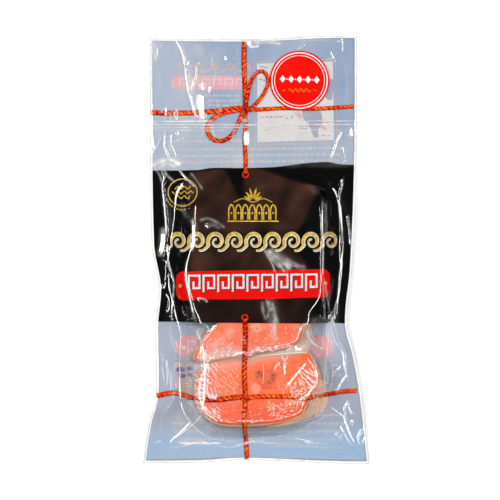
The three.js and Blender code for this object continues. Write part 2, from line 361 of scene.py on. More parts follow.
# Folds that are used more than once
TOP_RIGHT = [(341, 36), (342.5, 44), (342.5, 53)]
HEADER_RIGHT = [(343.7, 129), (337, 142), (331, 161)]
BAND_LEFT = [(160.5, 259), (167, 262), (171, 270), (174, 283), (172.6, 302), (171, 323)]
BAND_RIGHT = [(347.5, 214), (350, 232), (350.5, 247)]
SHOULDER = [(334, 322), (338, 340), (345, 352), (346, 368), (349, 384)]
CORNER = [(346, 402), (346.5, 420), (352, 436), (358, 446)]
CORNER_INNER = [(340, 424), (348, 438), (357, 450)]
LOW_SWEEP = [(258, 430), (290, 430), (318, 421), (333, 410)]
BOTTOM_FOLD = [(160, 440), (166, 448), (182, 446), (200, 443.6), (214, 445), (233, 447), (255, 441),
               (270, 443.6), (300, 445), (335, 449)]

# Folds, as (points, height, width and, where it differs, width on the right), in mm
for fold in (
    # header: long folds from the top edge, and short kinks
    ([(178, 44), (183, 56), (184.4, 72)], 0.5, 0.8, 4),
    ([(187, 66), (192, 61), (196, 66), (202, 61.5)], 0.6, 0.9, 3),
    ([(338.5, 36), (339, 42)], 0.6, 0.8, 3),
    ([(329.5, 51), (333, 59)], 0.6, 0.8, 3),
    ([(296, 51), (304.5, 44)], 0.6, 0.9, 3),
    ([(160, 101), (161.5, 108), (164, 118), (167, 112), (166, 105)], 0.6, 0.9, 2.4),
    ([(174.5, 110), (173.8, 116), (177, 120.5)], 0.6, 0.9, 2.4),
    ([(161, 138), (152, 154)], 0.7, 1.0, 3),
    ([(172, 128), (170, 142), (176, 158)], 0.7, 1.1, 3),
    ([(341.4, 146), (344.8, 163)], 0.7, 1.0, 3),
    ([(270, 135.4), (283, 135)], 0.5, 0.8, 2),
    # band: creases down both sides of the contents, and the pinched film under the header
    ([(167, 264), (169.5, 274), (174, 282)], 0.6, 0.8),
    ([(164, 293), (168, 300), (166, 312)], 0.5, 0.8),
    ([(183, 232), (181, 246), (183, 258)], 0.8, 1.2),
    ([(328, 186), (329.4, 204), (330.5, 228)], 0.6, 1.0),
    ([(331, 184), (337, 187), (344, 178)], 0.4, 1.0),
    ([(160, 292), (166, 280), (169, 270)], 0.7, 1.0),
    ([(318.5, 185), (311, 207), (300, 228)], 0.35, 2.4, 5),
    ([(224, 171), (231, 186), (236, 199), (238, 216)], 0.4, 1.8, 5),
    ([(246, 171), (252, 182), (262, 196)], 0.3, 1.8, 5),
    ([(198, 299), (203, 297), (208, 301)], 0.5, 0.8, 2),
    ([(207, 224), (210, 228)], 0.6, 1.0),
    ([(228, 196), (231, 204), (229, 214)], 0.4, 1.0, 2.5),
    # window: the long folds beside the slices, the wrinkles on them, and the pinched corners
    ([(217, 323), (209, 334), (200, 345)], 0.7, 0.9),
    ([(280.5, 353.5), (283.4, 359), (283.6, 367), (284.4, 375)], 0.6, 0.8, 2),
    ([(287.5, 353.5), (285, 359), (284, 364)], 0.5, 0.7, 2),
    ([(274, 370), (277.5, 362.5), (281, 366)], 0.5, 0.7, 2),
    ([(262, 362), (263.4, 380), (263, 385)], 0.4, 0.8, 2),
    ([(288, 401), (302, 398), (307, 401)], 0.6, 0.8),
    ([(173, 340), (178, 352), (176, 364)], 0.6, 0.9),
    ([(163.5, 350), (161.8, 366), (164.5, 384), (166.5, 372), (164.6, 356)], 0.25, 0.8),
    ([(149, 446), (160.5, 440)], 0.7, 0.9),
    (BOTTOM_FOLD, 0.6, 0.9),
    ([(180, 401), (184, 398)], 0.6, 0.9),
    (SHOULDER, 0.7, 0.9),
    ([(348.6, 400), (350, 408), (354, 414)], 0.7, 0.9),
    (CORNER, 0.7, 1.0),
    (CORNER_INNER, 0.6, 0.9),
    ([(290, 436), (310, 440), (330, 444), (350, 449)], 0.5, 0.9),
    ([(354, 446), (361, 430), (364, 424)], 0.7, 0.9),
    ([(360, 446), (364, 436)], 0.6, 0.8),
    ([(327, 398), (331, 406), (340, 412), (344, 416)], 0.6, 0.9),
    ([(346, 376), (341, 386), (336, 392)], 0.6, 0.9),
    ([(326, 372), (334, 372), (342, 366)], 0.4, 0.8),
    ([(313, 348), (318, 353), (323, 358)], 0.6, 0.8),
    ([(296, 420), (310, 414), (323, 405)], 0.6, 1.1),
    (LOW_SWEEP, 0.5, 1.2),
):
    ridge(*fold)
for row, height, parts in ((120.8, 0.24, WELD_PARTS), (124.6, 0.36, ((150, 357),)),
                           (130.0, 0.22, WELD_PARTS)):
    for start, stop in parts:
        ridge(level_line(start, stop, row, 0.2, 0.3), height, 0.55, blunt=0.2, ends=0.03)
hollow((301, 175), (9, 4), 1.4, -25)
strokes((345, 425), (9, 14), 55, 4, 12, 0.5)
strokes((345, 454), (12, 4), 50, 6, 6, 0.4, 40)
strokes((178, 454), (9, 4), 50, 4, 6, 0.4, 40)
strokes((175, 137), (12, 6), 40, 6, 6, 0.5, 50)

# Round the slices' edges the film puckers
for edge in (in_lower, in_upper):
    relief += 0.13 * grain(2.6, 1.8, 40) * np.exp(-(((edge - 1.5) / 3.5) ** 2)) * smoothstep(-Y, 56, 60)

# Everywhere: slow waves, and a fine crumple where the film spans free
loose = 1 - contact
relief += 0.16 * grain(34, 16, 84) * loose + 0.04 * grain(12, 7, 80)
tented = loose * smoothstep(-Y, -62, -50)
relief += -0.06 * np.abs(grain(26, 5, 86)) * tented
weld = smoothstep(-Y, 147.5, 150)
relief *= 1 - 0.75 * weld
relief -= 0.35 * weld

# The film is flat under the label, and thin at the rim
LABEL_CENTRE = at((299.5, 80.6))[0]
LABEL_RADIUS = 23.0
LABEL_TOP = 0.30
LABEL_UNDERSIDE = 0.06
from_label = np.hypot(X - LABEL_CENTRE[0], Y - LABEL_CENTRE[1])
relief *= smoothstep(from_label, LABEL_RADIUS + 0.5, LABEL_RADIUS + 5)
rim = smoothstep(INWARD, 0.2, 4.5)
film = membrane + relief * rim - 0.45 * (1 - smoothstep(INWARD, 0, 3.0))
FISH_CLEARANCE = 0.8
over_back = UNDER + 0.45 + 0.4 * smoothstep(INWARD, 0, 1.8)
over_fish = np.where((shown > 3) & (Y < at((0, 312))[0, 1]), shown + FISH_CLEARANCE, 0)
lowest = np.maximum(over_back, over_fish)
film = np.maximum(film, lowest)


SIDE_REACH = 0.84  # how far out the long lights at the sides stand, as a share of their height
FRONT_REACH = 0.80  # the same of the one in front


def glint(points, width, side=-1, ends=0.25, off=0.0, skirt=0.7):
    """Presses a narrow strip of film flat along a line, at the tilt that mirrors a long light.

    It falls to the right of the line's way, or to the left if side is 1. off tilts it past that, in degrees.
    """
    line = smooth_line(at(points), spacing=0.6)
    window, d, share, which = near(line, width / 2 + skirt + 0.8)
    way = unit(np.gradient(line, axis=0))
    down = side * np.column_stack([-way[:, 1], way[:, 0]])
    low = line + down * width / 2
    level = np.convolve(np.pad(sample(film, *low.T), 3, "edge"), np.ones(7) / 7, "valid")
    across, lengthwise = np.maximum(np.abs(down), 0.1).T
    reach = np.where(across > lengthwise, SIDE_REACH / across, FRONT_REACH / lengthwise)
    tilt = np.tan(np.arctan(reach) / 2 + math.radians(off))
    at_share = np.linspace(0, 1, len(line))
    offset = which * side * d
    plane = np.interp(share, at_share, level) + np.interp(share, at_share, tilt) * (width / 2 - offset)
    taper = smoothstep(share, 0, ends) * smoothstep(1 - share, 0, ends)
    mask = (1 - smoothstep(d, width / 2, width / 2 + skirt)) * smoothstep(taper, 0, 0.5)
    film[window] = lerp(film[window], plane, mask)


whitening_and_glare = np.zeros(X.shape)  # whitened folds: film turned white, and painted highlights where folds catch the lights


def streak(points, width, strength, ends=0.12):
    """A whitened line in the film, and a painted highlight where a fold catches the lights."""
    line = smooth_line(at(points), spacing=0.6)
    window, d, share, _ = near(line, 1.5 * width + 0.4)
    taper = smoothstep(share, 0, ends) * smoothstep(1 - share, 0, ends)
    whitening_and_glare[window] = np.maximum(whitening_and_glare[window], strength * taper * np.exp(-((d / (0.6 * width)) ** 2)))


crease_glint_lines = []  # painted glints along folds in the film over the wet slices: (line, width in mm)


def crease_glint(points, width):
    crease_glint_lines.append((smooth_line(at(points), spacing=0.5), width))


def crease_glints(centre, spread, angle, count, length, width, jitter=9):
    """Painted glints along short folds, spread evenly round a place, all about one way (degrees below a row).
    """
    for k in range(count):
        share = np.array([0.7549 * k % 1, 0.5698 * k % 1]) * 2 - 1
        p = np.array(centre) + (share + rng.normal(0, 0.06, 2)) * spread
        a = math.radians(angle + rng.normal(0, jitter))
        d = np.array([math.cos(a), math.sin(a)]) * length * rng.uniform(0.28, 0.62)
        bend = np.array([d[1], -d[0]]) * rng.uniform(-0.22, 0.22)
        crease_glint([p - d, p + bend, p + d], width * rng.uniform(0.6, 1.25))


# Pressed folds, as (points, width, side, ends, tilt): the header's, its weld lines', the others'
for fold in (
    ([(174.5, 39), (180, 47), (183.6, 57), (185, 67)], 1.3),
    ([(185.2, 66), (186.4, 80), (189.4, 95)], 0.9),
    ([(189.4, 93), (192, 104), (194, 112), (197.5, 119)], 1.3),
    ([(196.6, 64), (196, 74), (192.5, 84), (190.5, 93)], 0.8),
    ([(210.5, 48), (212, 62), (213.5, 74), (211, 88)], 0.6),
    ([(201, 92), (201.6, 104), (202.5, 119)], 4.6, -1, 0.35),
    ([(202.5, 82), (203, 91)], 1.8),
    ([(209, 86), (209.5, 91)], 1.4),
    ([(225, 55), (225.5, 61)], 1.2),
    ([(249, 40.5), (251, 45)], 2.6),
    ([(161, 41), (158, 50), (155, 59)], 0.8),
    (TOP_RIGHT, 0.9, 1),
    ([(165.5, 132), (164.4, 146), (167, 154), (171, 160)], 1.1),
    (HEADER_RIGHT, 1.0, 1),
    ([(350.5, 127), (351, 137)], 2.4, 1, 0.4),
    ([(248.5, 129), (246, 138), (248, 148)], 4.0, -1, 0.4),
):
    glint(*fold)
for row, start, stop, width in (
        (121.2, 150, 197, 0.45), (121.4, 306, 357, 0.4), (124.8, 150, 206, 0.7), (125, 252, 357, 0.6),
        (130.2, 152, 190, 0.4), (130, 262, 340, 0.35), (127, 158, 180, 0.4)):
    glint(level_line(start, stop, row, -0.2, 0.2), width, ends=0.06, skirt=0.5)
for fold in (
    # band: down the left, down the right, and a fan of streaks
    ([(161.5, 171), (164, 178), (162.5, 187), (164.5, 205), (166, 222), (167, 240),
      (168, 257)], 1.5, -1, 0.15),
    (BAND_LEFT, 1.0, -1, 0.15),
    ([(164, 229), (163, 243), (160, 257)], 4.2, -1, 0.4, -2.6),
    ([(177.5, 169), (184, 176), (196, 188)], 1.1),
    ([(179, 204), (185, 212), (193, 223)], 3.0, -1, 0.35, -2.4),
    ([(192.5, 219), (194.2, 230), (193.6, 241), (191.6, 251)], 2.6, -1, 0.3),
    ([(187.4, 263), (186.2, 276), (189, 291), (196, 323)], 1.3, -1, 0.12),
    ([(322, 199), (321.5, 220), (322.4, 246), (322, 278)], 1.2, 1, 0.1),
    ([(323, 276), (326, 296), (331, 323)], 0.9, 1, 0.15),
    ([(322, 280), (323.4, 300), (325, 323)], 0.8, 1, 0.15),
    ([(344.4, 176), (339, 200), (340, 206), (342, 234), (342.5, 249), (339.4, 274), (336, 321)], 1.1, 1, 0.1),
    (BAND_RIGHT, 0.8, 1),
    # window: the long fold down the left, short ones on the wet slices, and the right side's
    ([(196, 322), (201, 336), (204, 350)], 0.9, -1, 0.2),
    ([(203.6, 345), (205.2, 362), (205, 384), (204, 400), (201, 410)], 1.3, -1, 0.12),
    ([(201.2, 340), (201.8, 362), (201.4, 392)], 0.8, -1, 0.2),
    ([(207.8, 348), (208.8, 372), (207.6, 396)], 0.7, -1, 0.2),
    ([(202, 408), (194, 418), (182, 431), (168, 443)], 1.3, -1, 0.15),
    ([(170, 324), (171, 338), (175, 352), (174, 368), (173.5, 390), (167, 408)], 0.8, -1, 0.1),
    ([(308.6, 324), (311.6, 336.5), (319.8, 344)], 1.1, 1),
    ([(313, 356), (317, 383), (309, 391), (302, 396.6), (295, 399)], 1.4, 1, 0.1),
    ([(307, 360.5), (297, 372), (285, 387)], 0.9, 1, 0.3),
    ([(209, 396.5), (213, 395.6), (218, 395)], 2.6, -1, 0.4),
):
    glint(*fold)

for fold in (
    ([(256, 355.4), (275, 353.4), (292, 352.2), (308, 351.6)], 0.55),
    ([(262.5, 362), (263.6, 370), (262.6, 382)], 0.35),
    ([(281, 354), (284, 360), (283.6, 366), (284.5, 374)], 0.55),
    ([(274, 369), (277, 364), (279, 361.6), (278.6, 366)], 0.6),
    ([(292.6, 387), (295, 380.5), (295.4, 388.6)], 0.45),
):
    crease_glint(*fold)
for bunch in (
    ((210, 376), (8, 14), 52, 40, 5.0, 0.42, 14), ((227, 378), (11, 13), 50, 46, 4.2, 0.27, 18),
    ((200, 386), (4, 11), 20, 22, 6.0, 0.72), ((306, 377), (7, 10), 36, 26, 6.0, 0.66, 9),
    ((311, 380), (4, 8), 30, 10, 5.0, 0.9, 9), ((300, 391), (9, 4), -36, 16, 5.0, 0.62, 14),
    ((288, 386), (10, 6), 55, 12, 4.0, 0.3, 20), ((214, 412), (8, 6), 34, 24, 5.4, 0.74, 10),
    ((202, 405), (4, 6), 20, 12, 5.0, 0.6, 12), ((284, 408), (15, 7), -28, 44, 3.6, 0.46, 28),
    ((250, 412), (18, 8), 30, 16, 2.8, 0.3, 30), ((222, 344), (15, 8), -42, 22, 4.6, 0.34, 18),
    ((284, 334), (14, 9), 60, 10, 4.2, 0.34, 20), ((264, 342), (20, 6), -12, 12, 4.0, 0.3, 20),
    ((319, 402), (6, 12), -64, 14, 6.0, 0.42, 24),
):
    crease_glints(*bunch)

# Whitened folds and painted highlights along them, as (points, width in mm, strength)
for fold in (
    # header
    ([(175.6, 41), (181, 50), (184, 60), (185, 69), (186.6, 80), (188, 90), (191.6, 102),
      (195.5, 115)], 1.0, 0.92),
    ([(178, 42), (184, 54), (188, 68), (190, 84), (194, 100)], 4.5, 0.3),
    ([(185, 69), (189, 66.5), (193, 66), (197, 70), (196.5, 78), (193, 88), (190, 97)], 1.1, 0.5),
    ([(211, 50), (213, 62), (215, 76), (212, 87)], 0.8, 0.35),
    ([(198, 93), (198.5, 102), (201, 110), (204, 120)], 3.2, 0.8),
    ([(196.5, 97), (199, 98.5), (202.5, 98)], 3.4, 0.9),
    ([(200, 84), (200.5, 89)], 1.8, 0.9),
    ([(208.6, 90), (209.4, 93)], 1.3, 0.9),
    ([(233.4, 57), (234.6, 59)], 1.0, 0.8),
    ([(161.5, 114), (162, 110), (164, 109.5), (166, 112), (166, 116), (164.5, 118.5),
      (162.5, 118)], 0.8, 0.75),
    ([(174, 110), (176.5, 109.5), (177.5, 114), (177, 119), (175, 117), (174, 111)], 0.8, 0.75),
    ([(194, 129), (198, 127), (203, 129), (203.5, 134), (199, 137), (195.5, 135), (194, 130)], 0.8, 0.5),
    ([(212, 131), (215, 137)], 1.0, 0.6),
    ([(246, 130), (247.6, 138), (246.4, 146)], 3.4, 0.95),
    ([(152, 167), (157, 163), (164, 160.6), (172, 160.4), (182, 166)], 3.0, 0.85),
    ([(157, 169), (166, 164.5), (177, 167)], 3.0, 0.45),
    ([(151, 42), (154, 52), (157, 62)], 3.0, 0.4),
    ([(196, 52), (199, 60), (197, 70), (200, 80)], 1.2, 0.3),
    ([(176, 56), (180, 66), (181, 80)], 1.4, 0.2),
    ([(240, 118), (246, 121), (250, 117)], 2.0, 0.4),
    ([(229, 128), (234, 132), (232, 140)], 1.6, 0.3),
    ([(165.5, 128), (164.5, 140), (166, 152), (170, 162)], 1.6, 0.4),
    ([(161, 137), (153, 155)], 1.2, 0.35),
    ([(172, 133), (170, 146), (173, 160)], 2.4, 0.25),
    ([(246, 41), (251, 46.6), (260, 46)], 1.8, 0.85),
    ([(240, 40.4), (262, 40)], 1.4, 0.5),
    ([(250, 43.5), (266, 42.4), (284, 44)], 2.6, 0.5),
    ([(296, 41), (318, 40.4), (332, 40)], 1.6, 0.3),
    ([(329, 51), (333, 58), (336, 63)], 1.2, 0.5),
    ([(326, 60), (332, 57), (337, 52)], 1.0, 0.35),
    ([(296, 51), (304.5, 44)], 1.0, 0.3),
    ([(170, 113), (171, 120), (174, 126)], 1.0, 0.45),
    ([(157, 66), (160, 84), (158, 100)], 2.2, 0.16),
    ([(215, 96), (219, 108), (218, 120)], 2.0, 0.16),
    ([(236, 44), (238, 60), (236, 78)], 2.6, 0.12),
    ([(344, 60), (347, 84), (346, 108)], 2.2, 0.14),
    ([(151.6, 41), (156, 48), (158, 58)], 2.2, 0.45),
    (TOP_RIGHT, 0.9, 0.5),
    (HEADER_RIGHT, 1.2, 0.45),
    ([(351, 126), (351.6, 138)], 2.2, 0.6),
    ([(196, 42), (202, 58), (204, 76)], 9.0, 0.2),
    ([(318, 132), (324, 146), (322, 160)], 6.0, 0.12),
    # band
    ([(161.5, 170), (164.5, 179)], 0.9, 0.5),
    ([(162.5, 184), (164.5, 205), (166, 222), (166.5, 238)], 1.1, 0.6),
    ([(166, 186), (169, 215), (170, 236)], 3.2, 0.05),
    ([(164, 226), (163, 243), (160, 258)], 3.6, 0.3),
    (BAND_LEFT, 0.8, 0.55),
    ([(177.5, 168), (184, 176), (196, 188)], 1.1, 0.55),
    ([(179, 202), (185, 212), (192, 223)], 3.4, 0.08),
    ([(192.4, 218), (194.5, 230), (194, 241), (191.6, 252)], 2.0, 0.6),
    ([(188, 258), (186.4, 272), (189, 290), (196, 323)], 1.1, 0.6),
    ([(196.5, 222), (197.5, 246)], 3.0, 0.05),
    ([(322, 198), (321.5, 220), (322.4, 246), (322, 279)], 0.9, 0.5),
    ([(325, 202), (325.6, 240)], 1.8, 0.2),
    ([(322, 278), (325, 323)], 0.7, 0.35),
    ([(323, 276), (331.5, 323)], 0.7, 0.4),
    ([(344.4, 174), (339, 200), (340, 206), (342, 234), (342.5, 249), (339.4, 274), (336, 321)], 0.8, 0.45),
    (BAND_RIGHT, 0.9, 0.4),
    ([(263, 249), (272, 260), (281, 269)], 0.9, 0.5),
    ([(267, 249), (278, 259), (291, 270)], 1.3, 0.7),
    ([(268, 252), (278, 263), (285, 273)], 1.0, 0.6),
    ([(265, 253), (272, 264), (275, 273)], 0.9, 0.5),
    ([(274, 253), (287, 262), (300, 269)], 0.9, 0.4),
    ([(280, 255), (293, 264), (304, 272)], 0.8, 0.2),
    ([(268, 249), (280, 260), (292, 268)], 6.0, 0.28),
    ([(262, 247), (270, 256), (277, 266)], 2.0, 0.3),
    ([(284, 258), (296, 265), (306, 268)], 2.2, 0.25),
    ([(199, 221), (208, 219), (218, 223), (226, 229)], 1.6, 0.22),
    ([(204, 226), (214, 225), (221, 229)], 2.6, 0.12),
    ([(262, 300), (263, 310), (266, 320)], 1.6, 0.25),
    ([(190, 172), (197, 181), (203, 190)], 1.2, 0.25),
    ([(163, 168), (168, 176), (176, 183)], 1.2, 0.4),
    ([(155, 168), (160, 176), (163, 186)], 1.0, 0.4),
    ([(266, 250), (274, 259), (284, 268)], 3.0, 0.45),
    ([(276, 258), (284, 263), (293, 267)], 2.6, 0.5),
    ([(266, 298), (269, 308), (267, 318)], 1.6, 0.35),
    ([(271, 301), (274, 312), (277, 324)], 2.6, 0.4),
    ([(268, 300), (269, 306), (272, 311)], 2.4, 0.45),
    ([(268, 298), (272, 311), (272, 324)], 6.0, 0.12),
    ([(199, 299), (203, 298), (208.6, 301.5)], 1.0, 0.5),
    # window, left
    ([(193, 322), (201, 340), (204, 354), (205, 378), (203, 404), (200, 416), (186, 430),
      (167, 444)], 1.0, 0.75),
    ([(206.5, 357), (207.2, 376), (205.5, 402)], 0.8, 0.45),
    ([(201, 342), (201.5, 362)], 0.8, 0.4),
    ([(217, 324), (208, 335), (201, 343)], 0.9, 0.7),
    ([(204, 355), (220, 351), (238, 345)], 5.0, 0.22),
    ([(169, 322), (170, 336), (175, 352), (174, 366), (173.5, 392), (166, 410)], 0.9, 0.24),
    ([(163.5, 350), (161.8, 366), (164.5, 384)], 0.9, 0.22),
    ([(179, 330), (182, 352), (181, 380), (178, 402)], 4.2, 0.08),
    ([(186, 402), (194, 410), (203, 422)], 4.0, 0.05),
    # window, middle and right
    ([(274, 317), (274, 330), (275, 342)], 2.6, 0.38),
    ([(306, 328), (309, 338), (316, 345), (325, 349.5)], 1.6, 0.62),
    ([(310, 330), (314.5, 341)], 1.0, 0.3),
    ([(326, 322), (328, 336), (327, 352), (325, 368), (324, 390)], 0.9, 0.42),
    ([(330, 322), (330.6, 345)], 3.0, 0.1),
    ([(334.6, 322), (333.6, 352)], 1.0, 0.32),
    ([(281, 353), (284, 360), (283.6, 366), (284.5, 375)], 0.9, 0.5),
    ([(288, 352.6), (285, 359.6)], 0.8, 0.35),
    ([(306.8, 360.4), (296, 373), (284, 388.4)], 1.1, 0.68),
    ([(312.6, 355), (316.5, 380), (310, 390), (302, 397), (294, 399.4)], 1.3, 0.85),
    ([(311, 393), (321, 398), (324, 409)], 0.9, 0.35),
    ([(298, 422), (316, 416), (327, 403)], 1.1, 0.4),
    ([(322, 380), (330, 384), (338, 382)], 1.0, 0.3),
    (SHOULDER, 1.0, 0.35),
    (CORNER, 1.2, 0.35),
    (CORNER_INNER, 0.9, 0.3),
    (BOTTOM_FOLD, 1.4, 0.42),
    ([(172, 443), (186, 440.6), (206, 440)], 1.8, 0.3),
    ([(182, 445), (200, 442), (214, 444.6)], 1.5, 0.7),
    ([(206, 424), (212, 432), (209, 441)], 3.2, 0.14),
    ([(222, 427), (227, 434), (225, 443)], 2.6, 0.12),
    ([(252, 428), (249, 436), (254, 442)], 3.4, 0.13),
    ([(278, 427), (284, 434), (280, 443)], 3.0, 0.12),
    ([(306, 424), (311, 432), (322, 438)], 3.0, 0.14),
    ([(176, 412), (180, 424), (173, 437)], 4.0, 0.12),
    ([(168, 405), (161, 420), (163, 436)], 2.2, 0.18),
    ([(233, 447), (254, 441), (269, 443.4)], 1.5, 0.65),
    ([(300, 444.6), (316, 446.6), (332, 448.6)], 1.2, 0.5),
    (LOW_SWEEP, 1.4, 0.25),
    ([(262, 436), (300, 436), (331, 427)], 1.2, 0.2),
    ([(207.6, 391.6), (211, 395), (217.4, 397.6)], 1.3, 0.8),
    ([(209, 397.6), (213, 395.4), (218, 394.6)], 1.2, 0.7),
    ([(212.6, 391.8), (213.8, 397.8)], 0.9, 0.6),
):
    streak(*fold)
for row, start, stop, strength in (
        (116.4, 150, 200, 0.45), (121.2, 150, 214, 0.9), (121, 306, 357, 0.6), (124.6, 150, 357, 0.85),
        (127.4, 152, 250, 0.6), (130.2, 262, 342, 0.6), (130.4, 152, 240, 0.5)):
    streak(level_line(start, stop, row, 0.3), 0.8, strength, ends=0.04)

film = np.maximum(film, lowest)
SLOPE_Y, SLOPE_X = np.gradient(film, STEP)

# The printed twine, as (points, width in mm)
TWINE_LINES = [
    ([(244.4, 42), (244.0, 62), (244.8, 84), (245.6, 108)], 3.8),
    ([(244.8, 110), (245.6, 124), (244.6, 140), (245.6, 160), (245.4, 173)], 3.3),
    ([(245.0, 317.5), (245.4, 340), (244.4, 370), (245.4, 397), (244.6, 420), (246.0, 440), (247, 459)], 3.7),
    ([(151, 112.6), (172, 113.2), (196, 112.8), (220, 110.8), (238.6, 108.2), (245, 109)], 4.1),
    ([(245, 109.6), (254.7, 109.8), (284, 108.3), (310.4, 108.8), (332, 108), (353.7, 106.4)], 3.3),
    ([(157.1, 395.3), (174, 392.7), (193, 397.2), (218, 398.2), (238.6, 395.6), (245, 397)], 4.1),
    ([(245, 397), (257.6, 395.2), (284, 394.9), (306, 396.6), (328, 394.0), (342.7, 391.4),
      (356.6, 390.2)], 3.6),
    ([(245, 109), (247, 98), (248.4, 90), (252, 79), (259, 71.6), (265.4, 73.6), (268.0, 83), (262.5, 96),
      (252.6, 107), (246, 111)], 3.0),
    ([(243, 110), (232, 111.4), (218, 115.6), (209, 123), (207.8, 132), (213, 139.4), (222, 141),
      (230.6, 136.4), (237, 126), (243.4, 111)], 3.5),
]
OVER = (5, 6, 7, 8)  # those that pass over the others

# Where the film is finely crinkled on the wet slices, where it looks milky, partly as painted highlight and
# reflection, and where it mirrors little
ABOVE_BAND = smoothstep(Y - through(BAND_TOP, X), -0.2, 0.6)
BELOW_BAND = smoothstep(-Y, 57, 60)
CRINKLE = 0.30 * smoothstep(in_lower, 0.5, 3) + 0.15 * smoothstep(in_upper, 0.5, 3) * smoothstep(-Y, 55, 60)
for strength, points, soft in (
        (0.80, [(204, 362), (238, 362), (240, 392), (226, 396), (204, 398)], 5),
        (0.90, [(296, 366), (312, 362), (318, 386), (300, 398), (288, 392)], 4),
        (0.80, [(204, 400), (226, 402), (230, 418), (210, 420)], 4),
        (0.55, [(270, 398), (306, 400), (300, 416), (272, 420)], 4)):
    CRINKLE += strength * area(points, soft)
CRINKLE = 0.14 * CRINKLE * smoothstep(grain(8, 5, 30), -1.0, 0.9)

# a white cast over the header, lighter to the left: painted reflection of the broad lights
HAZE_AND_GLARE = 0.06 * area([(150, 125), (240, 128), (330, 130), (353, 128), (352, 165), (250, 168), (153, 168)], 6)
HAZE_AND_GLARE += 0.06 * np.clip(0.6 + grain(26, 8, 70), 0, 3) + 0.05 * smoothstep(-X, -10, 60)
HAZE_AND_GLARE *= ABOVE_BAND
HAZE_AND_GLARE += 0.05 * smoothstep(-Y, -85, -78) * smoothstep(Y, 62, 66)
HAZE_AND_GLARE += (0.06 * BELOW_BAND * smoothstep(Y, -142, -132) * (1 - smoothstep(in_lower, -3, 2))
         * (1 - smoothstep(in_upper, -3, 2)))
# patches of painted glare where the film mirrors the lights, and white veils beside the slices
for strength, points, soft in (
        (0.30, [(196, 92), (203, 92), (207, 110), (206, 123), (199, 121)], 3),
        (0.30, [(152, 41), (161, 41), (159, 52), (153, 60)], 2.5),
        (0.10, [(198, 340), (208, 338), (211, 396), (206, 412), (196, 420), (198, 396)], 4),
        (0.15, [(207, 391), (219, 391), (219, 399), (208, 400)], 3),
        (0.10, [(186, 402), (200, 404), (212, 422), (196, 434), (180, 428)], 5),
        (0.12, [(306, 322), (334, 322), (330, 356), (316, 352), (308, 340)], 4),
        (0.10, [(320, 360), (332, 360), (334, 400), (318, 420), (300, 428), (310, 408)], 5)):
    HAZE_AND_GLARE += strength * area(points, soft)
HAZE_AND_GLARE += 0.09 * smoothstep(-Y, 95, 115) * smoothstep(-X, -30, 50)
HAZE_AND_GLARE = HAZE_AND_GLARE * (0.75 + 0.25 * np.clip(grain(9, 5, 60), -2, 2))
for edge in (in_lower, in_upper):  # milky where wet film clings round the slices; it also lightens the shade they cast, as painted light
    HAZE_AND_GLARE += 0.20 * np.exp(-(((edge + 4.0) / 3.2) ** 2)) * BELOW_BAND * (1 - smoothstep(edge, -1, 0.5))
for points, width in TWINE_LINES:  # ink holds the film flat there
    place, distance, _, _ = near(smooth_line(at(points)), 3)
    HAZE_AND_GLARE[place] *= smoothstep(distance, 0.4 * width, 0.4 * width + 1.2)
HAZE_AND_GLARE = np.clip(HAZE_AND_GLARE + whitening_and_glare * (0.85 + 0.2 * np.clip(grain(2.5, 2.5), -2, 2)), 0, 0.97)

DULL = np.maximum.reduce([
    0.95 * area([(320, 324), (340, 324), (342, 352), (334, 362), (322, 350)], 3) * (1 - ABOVE_BAND),
    0.8 * area([(202, 414), (214, 419.6), (245, 422), (284, 418), (304, 410), (310, 415), (291, 424.5),
                (246, 429), (210, 426)], 1.5),
    0.75 * area([(156, 330), (186, 330), (190, 352), (178, 384), (168, 404), (154, 400)], 4),
    0.85 * area([(310, 396), (320, 374), (331, 396), (322, 416), (298, 427), (280, 426), (304, 413)], 3)])


# ---------------------------------------------------------------- meshes


def on(field, points):
    """A field's values at points (mm)."""
    return sample(field, points[:, 0], points[:, 1])


def rows_of(*grids):
    """Grids of coordinates as rows of points."""
    return np.column_stack([g.ravel() for g in grids])


def toward(angle, ratio=1.0):
    """Directions at angles (radians), their height squeezed by ratio."""
    return np.stack([np.cos(angle), np.sin(angle) * ratio], -1)


def link(name, data):
    made = bpy.data.objects.new(name, data)
    scene.collection.objects.link(made)
    return made


def make(name, points, faces, material, uvs=None, colours=None, normals=False):
    """A piece of the pouch from millimetre points. colours is {attribute: rgb rows or values}."""
    mesh = bpy.data.meshes.new(name)
    mesh.from_pydata((points * MM).tolist(), [], [tuple(map(int, f)) for f in faces])
    mesh.materials.append(material)
    mesh.polygons.foreach_set("use_smooth", np.ones(len(mesh.polygons), bool))
    if uvs is not None:
        layer = mesh.uv_layers.new(name="UVMap")
        corner = np.empty(len(mesh.loops), np.int32)
        mesh.loops.foreach_get("vertex_index", corner)
        layer.data.foreach_set("uv", uvs.astype(np.float32)[corner].ravel())
    for key, value in (colours or {}).items():
        value = value.astype(np.float32)
        if value.ndim == 1:
            mesh.attributes.new(key, "FLOAT", "POINT").data.foreach_set("value", value)
        else:
            rgba = np.column_stack([value, np.ones(len(value), np.float32)])
            mesh.attributes.new(key, "FLOAT_COLOR", "POINT").data.foreach_set("color", rgba.ravel())
    if normals:
        upright = np.column_stack([-on(SLOPE_X, points), -on(SLOPE_Y, points), np.ones(len(points))])
        mesh.normals_split_custom_set_from_vertices(unit(upright).tolist())
    mesh.validate()
    made = link(name, mesh)
    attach(made, "root")
    return made


def grid_faces(rows, cols, closed=False):
    """Quads between a grid's points, row by row. closed joins the last column to the first."""
    j, i = np.meshgrid(np.arange(rows - 1), np.arange(cols if closed else cols - 1), indexing="ij")
    n = (i + 1) % cols
    return np.stack([j * cols + i, j * cols + n, (j + 1) * cols + n, (j + 1) * cols + i], -1).reshape(-1, 4)


